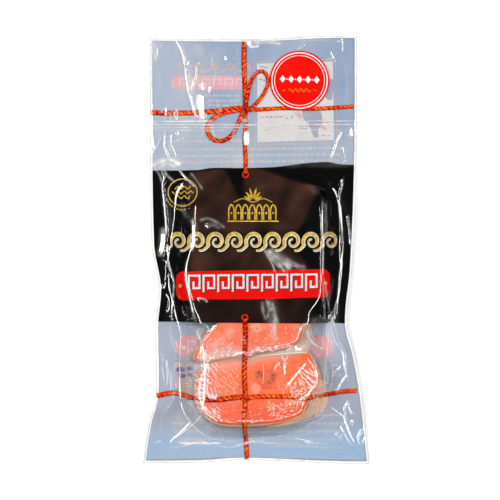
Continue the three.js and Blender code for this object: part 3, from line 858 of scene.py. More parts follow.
def border_of(nu, nv):
    """The outermost points of a grid of nv rows and nu columns, in order round it."""
    index = np.arange(nu * nv).reshape(nv, nu)
    return np.concatenate([index[0, :-1], index[:-1, -1], index[-1, :0:-1], index[:0:-1, 0]])


def wall(ring, other):
    """Quads that join two rings of points."""
    return np.column_stack([ring, np.roll(ring, -1), np.roll(other, -1), other])


def span(low, high, nu, nv, inset=0.0):
    """Places of a sheet between two limits along the pouch and its side edges: grids of x and y."""
    u, t = np.meshgrid(np.linspace(0, 1, nu), np.linspace(0, 1, nv))
    x = lerp(-78.0, 76.0, u)
    for _ in range(4):
        y = lerp(low(x), high(x), t)
        x = lerp(through(LEFT_EDGE, y) + inset, through(RIGHT_EDGE, y) - inset, u)
    return x, lerp(low(x), high(x), t)


def bottom_edge(inset=0.0):
    return lambda x: through(BOTTOM_EDGE, x) + inset


def top_edge(inset=0.0):
    return lambda x: through(TOP_EDGE, x) - inset


def band_top(x):
    return through(BAND_TOP, x)


def band_bottom(x):
    return through(BAND_BOTTOM, x)


def sheet(name, low, high, nu, nv):
    """A piece of the clear front film."""
    x, y = span(low, high, nu, nv)
    fields = (("crinkle", CRINKLE), ("haze_and_glare", HAZE_AND_GLARE), ("dull", DULL))
    painted = {key: sample(field, x, y).ravel() for key, field in fields}
    points = rows_of(x, y, sample(film, x, y))
    return make(name, points, grid_faces(nv, nu), CLEAR, colours=painted, normals=True)


class Print:
    """Flat print gathered into one mesh, at a gap under the front film or at a level over the back film."""

    def __init__(self, gap=0.1, level=None):
        self.gap = gap
        self.level = level
        self.points, self.faces, self.uvs = [], [], []

    def add(self, xy, faces, uvs):
        z = on(film, xy) - self.gap if self.level is None else on(UNDER, xy) + self.level
        offset = sum(map(len, self.points))
        self.points.append(np.column_stack([xy, z]))
        self.faces.extend([tuple(k + offset for k in f) for f in faces])
        self.uvs.append(uvs)
        return self

    def patch(self, outline, step=1.0):
        """Fills an outline (mm)."""
        (x0, y0), (x1, y1) = outline.min(0), outline.max(0)
        gx, gy = np.meshgrid(np.arange(x0 + step / 2, x1, step), np.arange(y0 + step / 2, y1, step))
        gx, gy = gx.ravel(), gy.ravel()
        keep = inside(outline, gx, gy) & (to_line(gx, gy, closed_up(outline))[0] > 0.35 * step)
        points = np.vstack([outline, np.column_stack([gx[keep], gy[keep]])])
        n = len(outline)
        rim_edges = [(k, (k + 1) % n) for k in range(n)]
        filled = delaunay_2d_cdt([Vector(p) for p in points], rim_edges, [], 1, 1e-5)
        xy = np.array([tuple(p) for p in filled[0]])
        return self.add(xy, filled[2], xy)

    def ribbon(self, line, width, closed=False, cells=2, shift=(0, 0)):
        """A stroke along a line (mm). width is a number or one for each point."""
        line = line + np.array(shift, float)
        n = len(line)
        before, after = np.roll(line, 1, axis=0), np.roll(line, -1, axis=0)
        if not closed:
            before[0] = 2 * line[0] - line[1]
            after[-1] = 2 * line[-1] - line[-2]
        a, b = unit(line - before), unit(after - line)
        normal = unit(np.column_stack([-(a + b)[:, 1], (a + b)[:, 0]]))
        mitre = 1 / np.maximum(0.6, np.abs((normal * np.column_stack([-b[:, 1], b[:, 0]])).sum(1)))
        half = np.broadcast_to(width, n) / 2 * mitre
        s = np.concatenate([[0], np.cumsum(np.hypot(*np.diff(line, axis=0).T))])
        k = np.linspace(-1, 1, cells + 1)
        xy = (line[:, None, :] + normal[:, None, :] * (half[:, None] * k)[:, :, None]).reshape(-1, 2)
        uv = np.column_stack([np.repeat(s, cells + 1), np.tile(k, n)])
        faces = np.roll(grid_faces(n + closed, cells + 1) % len(xy), -1, axis=1)
        return self.add(xy, faces.tolist(), uv)

    def disc(self, centre, radius, ratio=1.0):
        a = np.linspace(0, 2 * math.pi, 28, endpoint=False)
        return self.patch(centre + toward(a, ratio) * radius)

    def ring(self, centre, radius, width, ratio=1.0, count=60, start=0.0, stop=360.0):
        """A circle or a part of one (degrees) as a stroke."""
        closed = stop - start >= 360
        a = np.radians(np.linspace(start, stop, count, endpoint=not closed))
        return self.ribbon(centre + toward(a, ratio) * radius, width, closed)

    def turned_down(self, level):
        """The same print on the outside of the back film."""
        other = Print(level=level)
        for points, uvs in zip(self.points, self.uvs):
            other.add(points[:, :2], [], uvs)
        other.faces = [f[::-1] for f in self.faces]
        return other

    def build(self, name, material):
        return make(name, np.vstack(self.points), self.faces, material, uvs=np.vstack(self.uvs))


# ---------------------------------------------------------------- materials


class Nodes:
    """A material's node tree, with short ways to add nodes."""

    def __init__(self, name):
        self.material = bpy.data.materials.new(name)
        self.material.use_nodes = True
        self.tree = self.material.node_tree
        self.tree.nodes.clear()
        self.out = self.tree.nodes.new("ShaderNodeOutputMaterial")

    def feed(self, socket, value):
        """Links a socket to the input, or sets the input to a value."""
        if isinstance(value, bpy.types.NodeSocket):
            self.tree.links.new(value, socket)
        else:
            socket.default_value = value

    def node(self, kind, settings=None, **inputs):
        """A shader node. Its inputs go by name, or by place as i0, i1 and so on."""
        made = self.tree.nodes.new("ShaderNode" + kind)
        for key, value in (settings or {}).items():
            setattr(made, key, value)
        for key, value in inputs.items():
            by_place = key[0] == "i" and key[1:].isdigit()
            self.feed(made.inputs[int(key[1:]) if by_place else key.replace("_", " ")], value)
        return made

    def math(self, operation, a, b=0.0, c=0.0, clamp=False):
        return self.node("Math", {"operation": operation, "use_clamp": clamp}, i0=a, i1=b, i2=c).outputs[0]

    def times(self, product, *values, clamp=False):
        for value in values:
            product = self.math("MULTIPLY", product, value, clamp=clamp)
        return product

    def mix(self, factor, a, b):
        made = self.node("Mix", {"data_type": "RGBA"}, Factor=factor)
        for socket, colour in ((made.inputs[6], a), (made.inputs[7], b)):
            linked = isinstance(colour, bpy.types.NodeSocket)
            self.feed(socket, colour if linked else (*map(float, colour), 1.0))
        return made.outputs[2]

    def painted(self, name, output="Fac"):
        """Values that the mesh carries."""
        return self.node("Attribute", {"attribute_name": name}).outputs[output]

    def place(self):
        return self.node("TexCoord").outputs["Object"]

    def noise(self, scale, detail=2.0, stretch=None):
        place = self.place()
        if stretch:
            place = self.node("Mapping", i0=place, i3=stretch).outputs[0]
        return self.node("TexNoise", i0=place, Scale=scale, Detail=detail).outputs[0]

    def levels(self, value, low, high, to_low=0.0, to_high=1.0, smooth=False):
        settings = {"interpolation_type": "SMOOTHSTEP" if smooth else "LINEAR"}
        made = self.node("MapRange", settings, i0=value, i1=low, i2=high, i3=to_low, i4=to_high)
        return made.outputs[0]

    def bump(self, height, distance, strength=1.0):
        return self.node("Bump", Height=height, Distance=distance, Strength=strength).outputs[0]

    def done(self, shader):
        self.tree.links.new(shader, self.out.inputs["Surface"])
        return self.material

    def lit(self, base, roughness, specular=0.0, **more):
        """The finished material: an opaque surface of a base colour."""
        shader = self.node("BsdfPrincipled", Base_Color=base, Roughness=roughness,
                           Specular_IOR_Level=specular, **more)
        return self.done(shader.outputs[0])


def film_material(name, tint, reflect=0.09, rough=0.09, painted=False):
    """Clear glossy film, on the front with fine slanting crinkles and a cloudy white cast where they are
    painted; the cast is partly painted highlight and reflection.
    """
    n = Nodes(name)
    height = n.times(n.noise(380, 2, (1.0, 0.6, 1.0)), 0.16)
    if painted:
        crinkle, haze_and_glare, dull = (n.painted(key) for key in ("crinkle", "haze_and_glare", "dull"))
        turned = n.node("Mapping", {"vector_type": "TEXTURE"}, Vector=n.place(),
                        Rotation=(0, 0, math.radians(-48)), Scale=(0.0048, 0.0019, 1)).outputs[0]
        wave = n.node("TexNoise", Vector=turned, Scale=1.0, Detail=1.6, Roughness=0.55, Distortion=0.25)
        off = n.math("ABSOLUTE", n.math("ADD", wave.outputs[0], -0.5))
        crest = n.times(n.levels(off, 0.15, 0.0, smooth=True), crinkle)
        height = n.math("MULTIPLY_ADD", crest, 2.2, height)
        # the crinkles' crests turn white too: painted sparkle
        haze_and_glare = n.math("MULTIPLY_ADD", n.times(n.levels(off, 0.05, 0.0), crinkle), 0.25, haze_and_glare, clamp=True)
    bump = n.bump(height, 0.0002)
    roughness = n.levels(n.noise(60, 2), 0.3, 0.7, rough * 0.6, rough * 1.5)
    facing = n.node("LayerWeight", Blend=0.5, Normal=bump).outputs["Facing"]
    fresnel = n.math("MULTIPLY_ADD", n.math("POWER", facing, 5.0), 1 - reflect, reflect)
    sharp = n.node("BsdfGlossy", Roughness=roughness, Normal=bump).outputs[0]
    soft = n.node("BsdfGlossy", Roughness=0.26, Normal=bump).outputs[0]
    gloss = n.node("MixShader", i0=0.05, i1=sharp, i2=soft).outputs[0]
    through_film = n.node("BsdfTransparent", Color=(*tint, 1)).outputs[0]
    if painted:
        fresnel = n.times(fresnel, n.levels(dull, 0.0, 1.0, 1.0, 0.1))
        white_and_glare_shader = n.node("BsdfDiffuse", Color=(0.66, 0.64, 0.62, 1)).outputs[0]
        through_film = n.node("MixShader", i0=haze_and_glare, i1=through_film, i2=white_and_glare_shader).outputs[0]
    return n.done(n.node("MixShader", i0=fresnel, i1=through_film, i2=gloss).outputs[0])


def ink(name, colour, second, scale, rough=0.6, specular=0.0, amount=0.5):
    """Print: a colour with a little mottle of a second one, or of a darker shade if there is none."""
    n = Nodes(name)
    base = pigment(*colour)
    other = pigment(*second) if second else base * 0.86
    mottle = n.levels(n.noise(scale, 3), 0.35, 0.7, 0.0, amount * 2)
    grainy = n.levels(n.noise(900, 1), 0.2, 0.8, rough - 0.08, rough + 0.08)
    return n.lit(n.mix(mottle, base, other), grainy, specular)


def band_material():
    """Black ink, brown where the fish shows through it, and brown as painted sheen where the film mirrors the
    lights.
    """
    n = Nodes("band_ink")
    patchy = n.levels(n.noise(70, 3), 0.3, 0.75, 0.55, 1.15)
    shade = n.times(n.painted("fish_tint_and_sheen"), patchy, clamp=True)
    base = n.mix(shade, pigment(3, 2, 2), pigment(74, 46, 34))
    return n.lit(base, n.levels(n.noise(300, 2), 0.3, 0.7, 0.5, 0.62))


def back_blue_material():
    """The back film's pale print: bluer at the bottom, lighter at the header's left, greyer in clouds."""
    n = Nodes("back_blue")
    x, y, _ = n.node("SeparateXYZ", i0=n.place()).outputs
    base = n.mix(n.levels(n.noise(24, 3), 0.35, 0.65), pigment(172, 186, 209), pigment(153, 173, 205))
    for along, low, high, colour in ((y, 0.105, 0.085, (172, 187, 207)), (x, -0.035, -0.06, (180, 193, 215)),
                                     (y, -0.05, -0.06, (172, 179, 198)), (y, -0.125, -0.15, (171, 198, 229))):
        base = n.mix(n.levels(along, low, high, smooth=True), base, pigment(*colour))
    return n.lit(base, n.levels(n.noise(500, 1), 0.2, 0.8, 0.5, 0.7))


def twine_material():
    """Printed twisted twine: slanting strands, dark in the grooves and along both edges."""
    n = Nodes("twine_ink")
    along, over, _ = n.node("SeparateXYZ", i0=n.node("UVMap", {"uv_map": "UVMap"}).outputs[0]).outputs
    wobble = n.levels(n.noise(200, 3), 0.2, 0.8, -0.7, 0.7)
    slant = n.math("ADD", n.math("MULTIPLY_ADD", along, 0.25, wobble), n.times(over, 0.45))
    strand = n.levels(n.math("PINGPONG", slant, 0.5), 0.0, 0.30)
    fibre = n.levels(n.noise(1100, 3), 0.3, 0.7, 0.5, 1.25)
    worn = n.levels(n.noise(300, 2), 0.35, 0.65, 0.55, 1.2)
    edge = n.levels(n.math("ABSOLUTE", n.math("ADD", over, -0.12)), 0.5, 1.0, 0.0, 0.62)
    faded = n.levels(n.noise(26, 1), 0.4, 0.6, 0.0, 0.28)
    light = n.math("SUBTRACT", n.math("MULTIPLY_ADD", n.times(strand, fibre, worn), 0.95, faded), edge)
    ramp = n.node("ValToRGB", Fac=light)
    stops = ((0.0, (92, 0, 0)), (0.2, (160, 10, 0)), (0.45, (224, 36, 0)), (0.72, (246, 66, 2)),
             (0.98, (262, 128, 40)))
    elements = ramp.color_ramp.elements
    elements[1].position = stops[-1][0]
    for element, (_, colour) in zip(elements, (stops[0], stops[-1])):
        element.color = (*pigment(*colour), 1)
    for place, colour in stops[1:-1]:
        elements.new(place).color = (*pigment(*colour), 1)
    return n.lit(ramp.outputs[0], n.levels(fibre, 0.5, 1.2, 0.5, 0.7))


def flesh_material():
    """Raw salmon: painted ground colour, muscle blocks in nested arcs, fine fibre and a wet surface."""
    n = Nodes("salmon_flesh")
    meat = n.painted("meat")
    warp = n.times(n.levels(n.noise(90, 3), 0.2, 0.8, -1, 1), 0.5)
    arcs = n.math("PINGPONG", n.math("ADD", n.painted("block"), warp), 0.5)
    line = n.times(n.levels(arcs, 0.1, 0.0), meat, clamp=True)
    fibre = n.levels(n.noise(330, 4, (1.0, 1.6, 1.0)), 0.3, 0.7)
    broad = n.levels(n.noise(45, 3), 0.3, 0.7)
    patch = n.levels(n.noise(150, 3, (1.0, 0.7, 1.0)), 0.45, 0.68)
    base = n.mix(n.times(line, 0.10), n.painted("paint", "Color"), pigment(255, 196, 172))
    for amount, strength, colour in ((broad, 0.34, (268, 100, 50)), (patch, 0.46, (264, 80, 30)),
                                     (fibre, 0.28, (272, 184, 138))):
        base = n.mix(n.times(amount, meat, strength), base, pigment(*colour))
    bump = n.bump(n.math("ADD", n.times(fibre, 0.5), n.times(line, -1.0)), 0.0003, 0.5)
    return n.lit(base, n.levels(fibre, 0, 1, 0.28, 0.42), 0.12, Normal=bump, Subsurface_Weight=0.12,
                 Subsurface_Radius=(0.004, 0.0012, 0.0008), Subsurface_Scale=1.0)


def veil(name, colour, opacity, scale=160, flat=0.0):
    """A see-through tinted layer of uneven strength. flat above 0 shades a steep one as if it lay flatter."""
    n = Nodes(name)
    amount = n.levels(n.noise(scale, 3), 0.3, 0.7, opacity * 0.8, min(1, opacity * 1.2))
    tint = n.mix(n.noise(scale * 2.5, 2), pigment(*colour), pigment(*[min(255, v * 1.08) for v in colour]))
    clear = n.node("BsdfTransparent").outputs[0]
    cast = n.node("BsdfDiffuse", Color=tint)
    if flat:
        facing = n.node("NewGeometry").outputs["Normal"]
        raised = n.node("VectorMath", {"operation": "MULTIPLY_ADD"}, i0=facing, i1=(1 - flat,) * 3,
                        i2=(0, 0, flat))
        n.feed(cast.inputs["Normal"], raised.outputs[0])
    return n.done(n.node("MixShader", i0=amount, i1=clear, i2=cast.outputs[0]).outputs[0])


CLEAR = film_material("clear_film", (0.985, 0.987, 0.99), painted=True)
RED = ink("red_ink", (255, 14, 5), (246, 8, 3), 120)
GOLD = ink("gold_ink", (246, 214, 92), (206, 160, 44), 420, amount=0.6)
WHITE = ink("white_ink", (248, 248, 246), (226, 226, 228), 300)
OUTSIDE_TEXT = ink("outside_text", (70, 84, 116), None, 300)
TWINE = twine_material()
FLESH = flesh_material()


# ---------------------------------------------------------------- clear front film


def build_front_film():
    for piece in (sheet("film_header", band_top, top_edge(), 320, 206),
                  sheet("film_band", band_bottom, band_top, 270, 216),
                  sheet("film_window", bottom_edge(), band_bottom, 400, 246)):
        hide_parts("pouch")
    # white lines along the folds, just over the film: painted glints
    crease_glint_print = Print(-0.06)
    for line, width in crease_glint_lines:
        crease_glint_print.ribbon(line, width * np.sin(np.linspace(0.03, 0.97, len(line)) * math.pi) ** 0.6)
    crease_glint_print.build("film_crease_glints", veil("film_crease_glints", (278, 264, 250), 0.84, 400))


# ---------------------------------------------------------------- print on the band


def build_band():
    """Black ink that turns browner over the contents, with painted brown sheen where the film mirrors the
    lights and painted shade along a fold.
    """
    fish_tint_and_sheen = area([(189, 174), (203, 171), (224, 170), (233, 186), (241, 199), (244, 184), (246, 170),
                   (262, 170), (290, 180), (312, 186), (316, 192), (308, 212), (299, 228), (290, 240),
                   (296, 250), (304, 262), (309, 280), (309.6, 300), (309, 326), (232, 326), (199, 326),
                   (194, 300), (190, 280), (192, 250), (195, 232), (190, 212), (186, 190)], 1.6)
    fish_tint_and_sheen *= 1 - 0.8 * area([(288, 168), (300, 167), (313, 176), (312, 183), (300, 181), (290, 175)], 1.5)
    # brighter brown towards the header: painted sheen
    fish_tint_and_sheen *= lerp(0.30, 0.78, smoothstep(Y, -40, 20))
    # darker along the fold where the film rises onto the hidden slice: painted shade
    fish_tint_and_sheen *= 1 - 0.5 * area([(196, 222), (215, 226), (234, 233), (300, 230), (300, 236), (196, 236)], 2.5)
    fish_tint_and_sheen *= np.clip(1 + 0.28 * grain(12, 6, 60), 0.3, 1.8)
    # brown patches in the fan of folds, under the bar and at the left: painted sheen
    for lit in ([(262, 246), (276, 250), (306, 267), (298, 274), (278, 276), (265, 262)],
                [(262, 299), (276, 299), (284, 325), (268, 325)],
                [(190, 262), (203, 250), (212, 262), (204, 284)]):
        fish_tint_and_sheen += 0.45 * area(lit, 4)
    nu, nv = 262, 212
    x, y = span(band_bottom, band_top, nu, nv, 1.8)
    make("print_band", rows_of(x, y, sample(film, x, y) - 0.50), grid_faces(nv, nu), band_material(),
         colours={"fish_tint_and_sheen": sample(fish_tint_and_sheen, x, y).ravel()})


def rounded(x0, y0, x1, y1, r, skew=0.0):
    """A rounded rectangle's outline from photograph places. skew lowers its left end."""
    outline = []
    for cx, cy, first in ((x1 - r, y0 + r, -90), (x1 - r, y1 - r, 0), (x0 + r, y1 - r, 90),
                          (x0 + r, y0 + r, 180)):
        for a in np.radians(np.linspace(first, first + 90, 9)):
            px = cx + r * math.cos(a)
            outline.append((px, cy + r * math.sin(a) + skew * (x1 - px) / (x1 - x0)))
    return at(outline)


def scroll(width, height, turns=1.35, count=34):
    """One crest of a running wave, from the base line up and round into its curl."""
    a = np.radians(np.linspace(205, 205 - 360 * turns, count))
    r = np.linspace(0.5, 0.10, count) * height
    curl = np.column_stack([0.60 * width + r * np.cos(a) * 0.92, 0.5 * height + r * np.sin(a)])
    lead = np.array([(-0.30, 0.02), (-0.12, 0.02), (0.02, 0.10)]) * (width, height)
    return smooth_line(np.vstack([lead, curl]), spacing=0.7)


def fine(corners, spacing=0.7):
    """The same straight-sided line with points between its corners."""
    out = [corners[:1]]
    for a, b in zip(corners, corners[1:]):
        count = max(1, int(np.hypot(*(b - a)) / spacing))
        out.append(a + (b - a) * (np.arange(1, count + 1) / count)[:, None])
    return np.vstack(out)


def draw_wave(gold, white, shadow):
    """A running wave in gold with a white rim and a shadow."""
    pitch, height = 18.9, 18.5
    for k in range(9):
        line = scroll(pitch * PIXEL, height * PIXEL) + at((167 + pitch * k, 250.5))
        w = 0.8 + 1.5 * np.sin(np.clip(np.linspace(0, 1.15, len(line)), 0, 1) * math.pi) ** 0.8
        gold.ribbon(line, w)
        white.ribbon(line, w + 0.8, shift=(0.25, -0.25))
        shadow.ribbon(line, w + 2.2, shift=(0.5, -0.5))


def draw_arcade(gold):
    """An arcade with a fan of leaves above it."""
    arch = np.array([(0, 220), (0, 210), (1.2, 206.5), (2.6, 205), (4.0, 206.5), (5.2, 210), (5.2, 220)])
    for k in range(7):
        x0 = 229 + 6.9 * k
        gold.ribbon(smooth_line(at(arch + (x0, 0)), spacing=0.6), 0.95)
        gold.disc(at((x0 + 2.6, 213.5)), 0.75)
    gold.ribbon(at([(227.5, 221.5), (278.5, 221.5)]), 0.8)
    share = np.linspace(0, 1, 12)[:, None]
    for angle in (-62, -38, -14, 14, 38, 62):
        way = toward(math.radians(90 + angle))
        leaf = at((253, 201.5)) + way * (1.8 + share * (9.6 - abs(angle) / 16))
        gold.ribbon(leaf, 0.15 + 1.5 * np.sin(np.linspace(0.05, 1, 12) * math.pi))
    swag = at([(234, 202.5), (243, 199), (253, 202.5), (263, 199), (272, 202.5)])
    gold.ribbon(smooth_line(swag, spacing=0.6), 0.6)


def draw_ripples(gold):
    """A ring with three ripples."""
    centre = at((182.8, 192.5))
    gold.ring(centre, 11.2, 0.75, 0.93)
    t = np.linspace(-1, 1, 36)
    for k, half in ((-1, 6.2), (0, 8.2), (1, 6.2)):
        gold.ribbon(centre + np.column_stack([t * half, k * 3.6 + 1.1 * np.sin(t * half * 1.25)]), 0.75)
    for a in np.radians(np.arange(205, 285, 9)):
        gold.disc(centre + toward(a) * 13.4, 0.55)


def draw_key(white, shadow):
    """A key pattern along the red bar."""
    key = np.array([(0, 0), (0, -16.5), (10.6, -16.6), (10.6, -4.2), (4.6, -4.1), (4.6, -10.6)])
    for k in range(9):
        line = fine(at(key + (189.5 + 14.5 * k, 292.0 - 0.16 * k)))
        white.ribbon(line, 1.55)
        shadow.ribbon(line, 1.55, shift=(0.5, -0.55))


def build_band_print():
    Print(0.34).patch(rounded(176.2, 268.4, 329.8, 297.6, 8.5, 2.6), 0.6).build("print_bar", RED)
    gold, white, shadow = Print(0.06), Print(0.13), Print(0.20)
    draw_wave(gold, white, shadow)
    draw_arcade(gold)
    draw_ripples(gold)
    for place in ((180.6, 285.6), (325.0, 283.0)):
        gold.disc(at(place), 1.25)
    draw_key(white, shadow)
    gold.build("print_gold", GOLD)
    white.build("print_white", WHITE)
    shadow.build("print_shadow", ink("shadow_ink", (10, 8, 8), (22, 16, 14), 300))


def build_twine():
    """Printed eyelets, twine, the parts of it that pass over others, and the knots."""
    eyelets, twine, bow, knots = Print(0.08), Print(0.10), Print(0.07), Print(0.05)
    for place in ((245.6, 174.7), (245.0, 317.0)):
        eyelets.ring(at(place), 2.2, 0.95, count=32)
    eyelets.build("print_eyelets", ink("eyelet_ink", (248, 52, 18), (226, 30, 8), 500))
    for k, (points, width) in enumerate(TWINE_LINES):
        line = smooth_line(at(points), spacing=0.7)
        layer = bow if k in OVER else twine
        layer.ribbon(line, width * (0.96 + 0.07 * np.sin(1.3 * np.arange(len(line)))), cells=4)
    twine.build("print_twine", TWINE)
    bow.build("print_bow", TWINE)
    turns = ([(-3.6, 1.6), (-1.5, -1.2), (1.6, -1.4), (3.4, 1.0)], [(-2.6, -2.0), (0.2, 2.2), (2.9, -1.8)],
             [(-1.6, 2.8), (0.4, 0.2), (-0.4, -3.0)], [(2.4, 2.6), (0.8, 0.4), (2.0, -2.6)])
    for place, scale in (((245.6, 109.6), 1.0), ((245.2, 397.6), 0.85)):
        for turn in turns:
            line = smooth_line(np.array(turn) * scale + at(place), spacing=0.5)
            knots.ribbon(line, 1.9 * scale, cells=4)
    knots.build("print_knots", TWINE)


# ---------------------------------------------------------------- back film and its print


def build_back_film():
    """The clear back film, closed up to the front film along the rim."""
    nu, nv = 90, 170
    x, y = span(bottom_edge(), top_edge(), nu, nv)
    points = rows_of(x, y, sample(UNDER, x, y) + 0.02)
    border = border_of(nu, nv)
    lifted = points[border]
    lifted[:, 2] = on(film, lifted) - 0.01
    faces = np.vstack([grid_faces(nv, nu)[:, ::-1], wall(border, len(points) + np.arange(len(border)))])
    clear = film_material("back_film", (0.985, 0.985, 0.98), 0.04, 0.12)
    make("film_back", np.vstack([points, lifted]), faces, clear)


def build_back_colour():
    """The back film's pale blue print, a thin closed slab."""
    nu, nv, inset = 84, 160, 1.9
    x, y = span(bottom_edge(inset), top_edge(inset), nu, nv, inset)
    up, down = (rows_of(x, y, sample(UNDER, x, y) + level) for level in (0.15, 0.10))
    quads, border, n = grid_faces(nv, nu), border_of(nu, nv), nu * nv
    faces = np.vstack([quads, quads[:, ::-1] + n, wall(border + n, border)])
    printed = make("back_print", np.vstack([up, down]), faces, back_blue_material())
    printed.visible_glossy = False  # as the floor: the steep film would mirror it


def build_margin():
    """The unprinted margin along the weld, and a thin line in it."""
    nu, nv, inset = 84, 160, 2.1
    border = border_of(nu, nv)
    outer = rows_of(*span(bottom_edge(), top_edge(), nu, nv))[border]
    inner = rows_of(*span(bottom_edge(inset), top_edge(inset), nu, nv, inset))[border]
    rings = [lerp(outer, inner, share) for share in (0.03, 0.5, 1.0)]
    points = np.vstack([np.column_stack([ring, on(UNDER, ring) + 0.08]) for ring in rings])
    make("clear_margin", points, grid_faces(len(rings), len(border), closed=True),
         veil("clear_margin", (296, 291, 282), 0.97))
    Print(0.05).ribbon(lerp(outer, inner, 0.14), 0.45, closed=True).build(
        "margin_edge", veil("margin_edge", (190, 182, 174), 0.4))


def dashes(target, x0, x1, y0, height, seed, slope=0.0, small=1.6, large=7.0):
    """A row of plain dashes of changing length."""
    own = np.random.default_rng(seed)
    px = x0
    while px < x1 - small:
        length = min(own.uniform(small, large), x1 - px)
        line = at([(px, y0 + slope * (px - x0)), (px + length, y0 + slope * (px + length - x0))])
        target.ribbon(line, height * PIXEL)
        px += length + own.uniform(0.9, 1.9)


def draw_header_panel(layers):
    """The header's faint bar with a wave and a key pattern, and the panel with two plain patches."""
    layers["bar"].patch(rounded(171, 75.5, 252, 89.8, 6.8), 2.0)
    layers["panel"].patch(at([(257, 63.7), (333, 61.5), (334, 140), (257.5, 142)]), 3.0)
    layers["gold"].ribbon(at([(254.6, 61.6), (335.7, 59.6), (336.6, 143), (255, 144.6), (254.6, 61.6)]), 0.6)
    pitch = 16.4
    for k in range(5):
        layers["gold"].ribbon(scroll(pitch * PIXEL, 9.5 * PIXEL) + at((172 + pitch * k, 72.5)), 1.2)
    key = np.array([(0, 0), (0, -7.4), (7.4, -7.4), (7.4, -2.4), (3.4, -2.4)])
    for k in range(6):
        layers["pale"].ribbon(at(key + (179.5 + 11.4 * k, 86.4)), 0.75)
    for land in ([(302, 108), (314, 108), (321, 113), (322, 123), (318, 130), (319, 138), (315, 139),
                  (311, 130), (309, 124), (304, 120), (303, 116)],
                 [(322, 82), (333, 80), (333, 98), (326, 98)]):
        layers["land"].patch(shape(land), 2.0)
    for x0, x1, row, height, seed in ((261, 284, 117.4, 1.3, 60), (299, 314, 126.4, 0.9, 61),
                                      (299, 310, 128.6, 0.9, 62), (321, 330, 122.6, 0.9, 63),
                                      (322, 331, 135.6, 0.9, 64)):
        dashes(layers["dark"], x0, x1, row, height, seed, -0.03, 0.9, 2.4)
    for mark in ([(285.5, 119.5), (288, 117.6)], [(290.5, 118.4), (293, 115.6)], [(259, 66), (268, 68)],
                 [(259, 79), (266, 81)]):
        layers["dark"].ribbon(at(mark), 0.7)
    for px, py in ((299, 115), (324, 128)):
        for k in (-1, 0, 1):
            layers["pink"].ring(at((px + 1.6 * k, py + 1.7 * k)), 1.5, 0.5, 0.7, 20, 20, 330)


def draw_window_print(layers):
    """What shows beside and below the slices: a bar with a key pattern, small round marks and lines."""
    layers["low_bar"].patch(rounded(176.2, 336, 262, 357, 9.5), 2.0)
    layers["low_bar"].patch(rounded(300, 336, 332, 358, 9.0), 2.0)
    key = np.array([(0, 0), (0, -12), (7.6, -12), (7.6, -3.5), (3.4, -3.5)])
    for k in range(5):
        layers["pale"].ribbon(at(key + (188 + 12 * k, 353)), 0.8)
    layers["pale"].disc(at((184.2, 347.6)), 1.7)
    layers["gold"].ribbon(at([(171, 360), (240, 360)]), 0.5)
    layers["mauve"].patch(at([(174, 362), (205, 362), (205, 405), (196, 402), (181, 392), (176, 386)]), 2.0)
    for px, py, r in ((180.5, 369.5, 3.4), (190.5, 368.5, 2.6), (182, 375.8, 2.8), (191, 375, 2.6)):
        layers["navy"].disc(at((px, py)), r, 0.62)
    layers["sand"].disc(at((187, 386)), 5.0, 0.8)
    layers["sand"].ribbon(at([(178, 391), (196, 392)]), 3.2)


def draw_small_print(text):
    """Rows of dashes in the header and the window, and two thin lines at the bottom."""
    for x0, x1, row, height, seed in (
            (196, 242, 95.6, 1.9, 20), (208, 242, 100.8, 1.9, 21), (208, 242, 105.4, 1.9, 22),
            (172, 346, 423.5, 2.7, 40), (175, 346, 431.5, 2.7, 41), (178, 346, 439.2, 2.7, 42),
            (300, 342, 415, 2.3, 50), (331, 342, 365, 2.0, 51), (331, 342, 375, 2.0, 52)):
        dashes(text, x0, x1, row, height, seed)
    for x1, row, seed in ((252, 141.5, 30), (342, 150.0, 31), (342, 156.4, 32), (342, 162.6, 33)):
        dashes(text, 166, x1, row, 2.5, seed, -0.012)
    text.ribbon(at([(268, 446.5), (344, 448)]), 0.9)
    text.ribbon(at([(155, 457.4), (250, 456.6), (362, 459.4)]), 0.5)


def build_outside_table():
    """A ruled table and rows of dashes on the outside, where the slices hide the inside."""
    table = Print()
    first, pitch, count = 250, 8, 9
    for k in range(count):
        row = first + pitch * k
        table.ribbon(at([(186, row), (322, row)]), 0.5)
        if k < count - 1:
            dashes(table, 190, 236, row + 4, 2.0, 80 + k)
            dashes(table, 286, 316, row + 4, 2.0, 90 + k)
        dashes(table, 170, 338, 176 + 7.4 * k, 2.4, 100 + k)
    for column in (186, 278, 322):
        table.ribbon(at([(column, first), (column, first + pitch * (count - 1))]), 0.5)
    table.turned_down(0.075).build("outside_table", OUTSIDE_TEXT)


# The back print's layers, each as (level over the back film, level on its outside, ink's colours and mottle,
# ink on the outside if it differs)
BACK_LAYERS = {
    "bar": (0.22, 0.085, (240, 188, 194), (232, 176, 184), 90, RED),
    "low_bar": (0.22, 0.085, (246, 168, 176), (238, 156, 166), 90, RED),
    "gold": (0.22, 0.08, (218, 194, 174), (204, 184, 176), 200, GOLD),
    "text": (0.22, 0.08, (208, 206, 208), (196, 198, 206), 300, OUTSIDE_TEXT),
    "panel": (0.22, 0.085, (234, 228, 224), (226, 222, 220), 60, None),
    "mauve": (0.22, 0.085, (210, 182, 186), (198, 172, 182), 60, None),
    "land": (0.27, 0.07, (176, 178, 198), (168, 172, 192), 60, None),
    "dark": (0.27, 0.07, (138, 148, 176), (128, 140, 168), 300, None),
    "pink": (0.27, 0.07, (232, 160, 182), (226, 150, 176), 300, None),
    "navy": (0.27, 0.07, (96, 98, 144), (88, 92, 138), 100, None),
    "sand": (0.27, 0.07, (214, 190, 160), (222, 176, 150), 90, None),
    "pale": (0.27, 0.07, (242, 228, 226), (232, 218, 220), 300, WHITE),
}


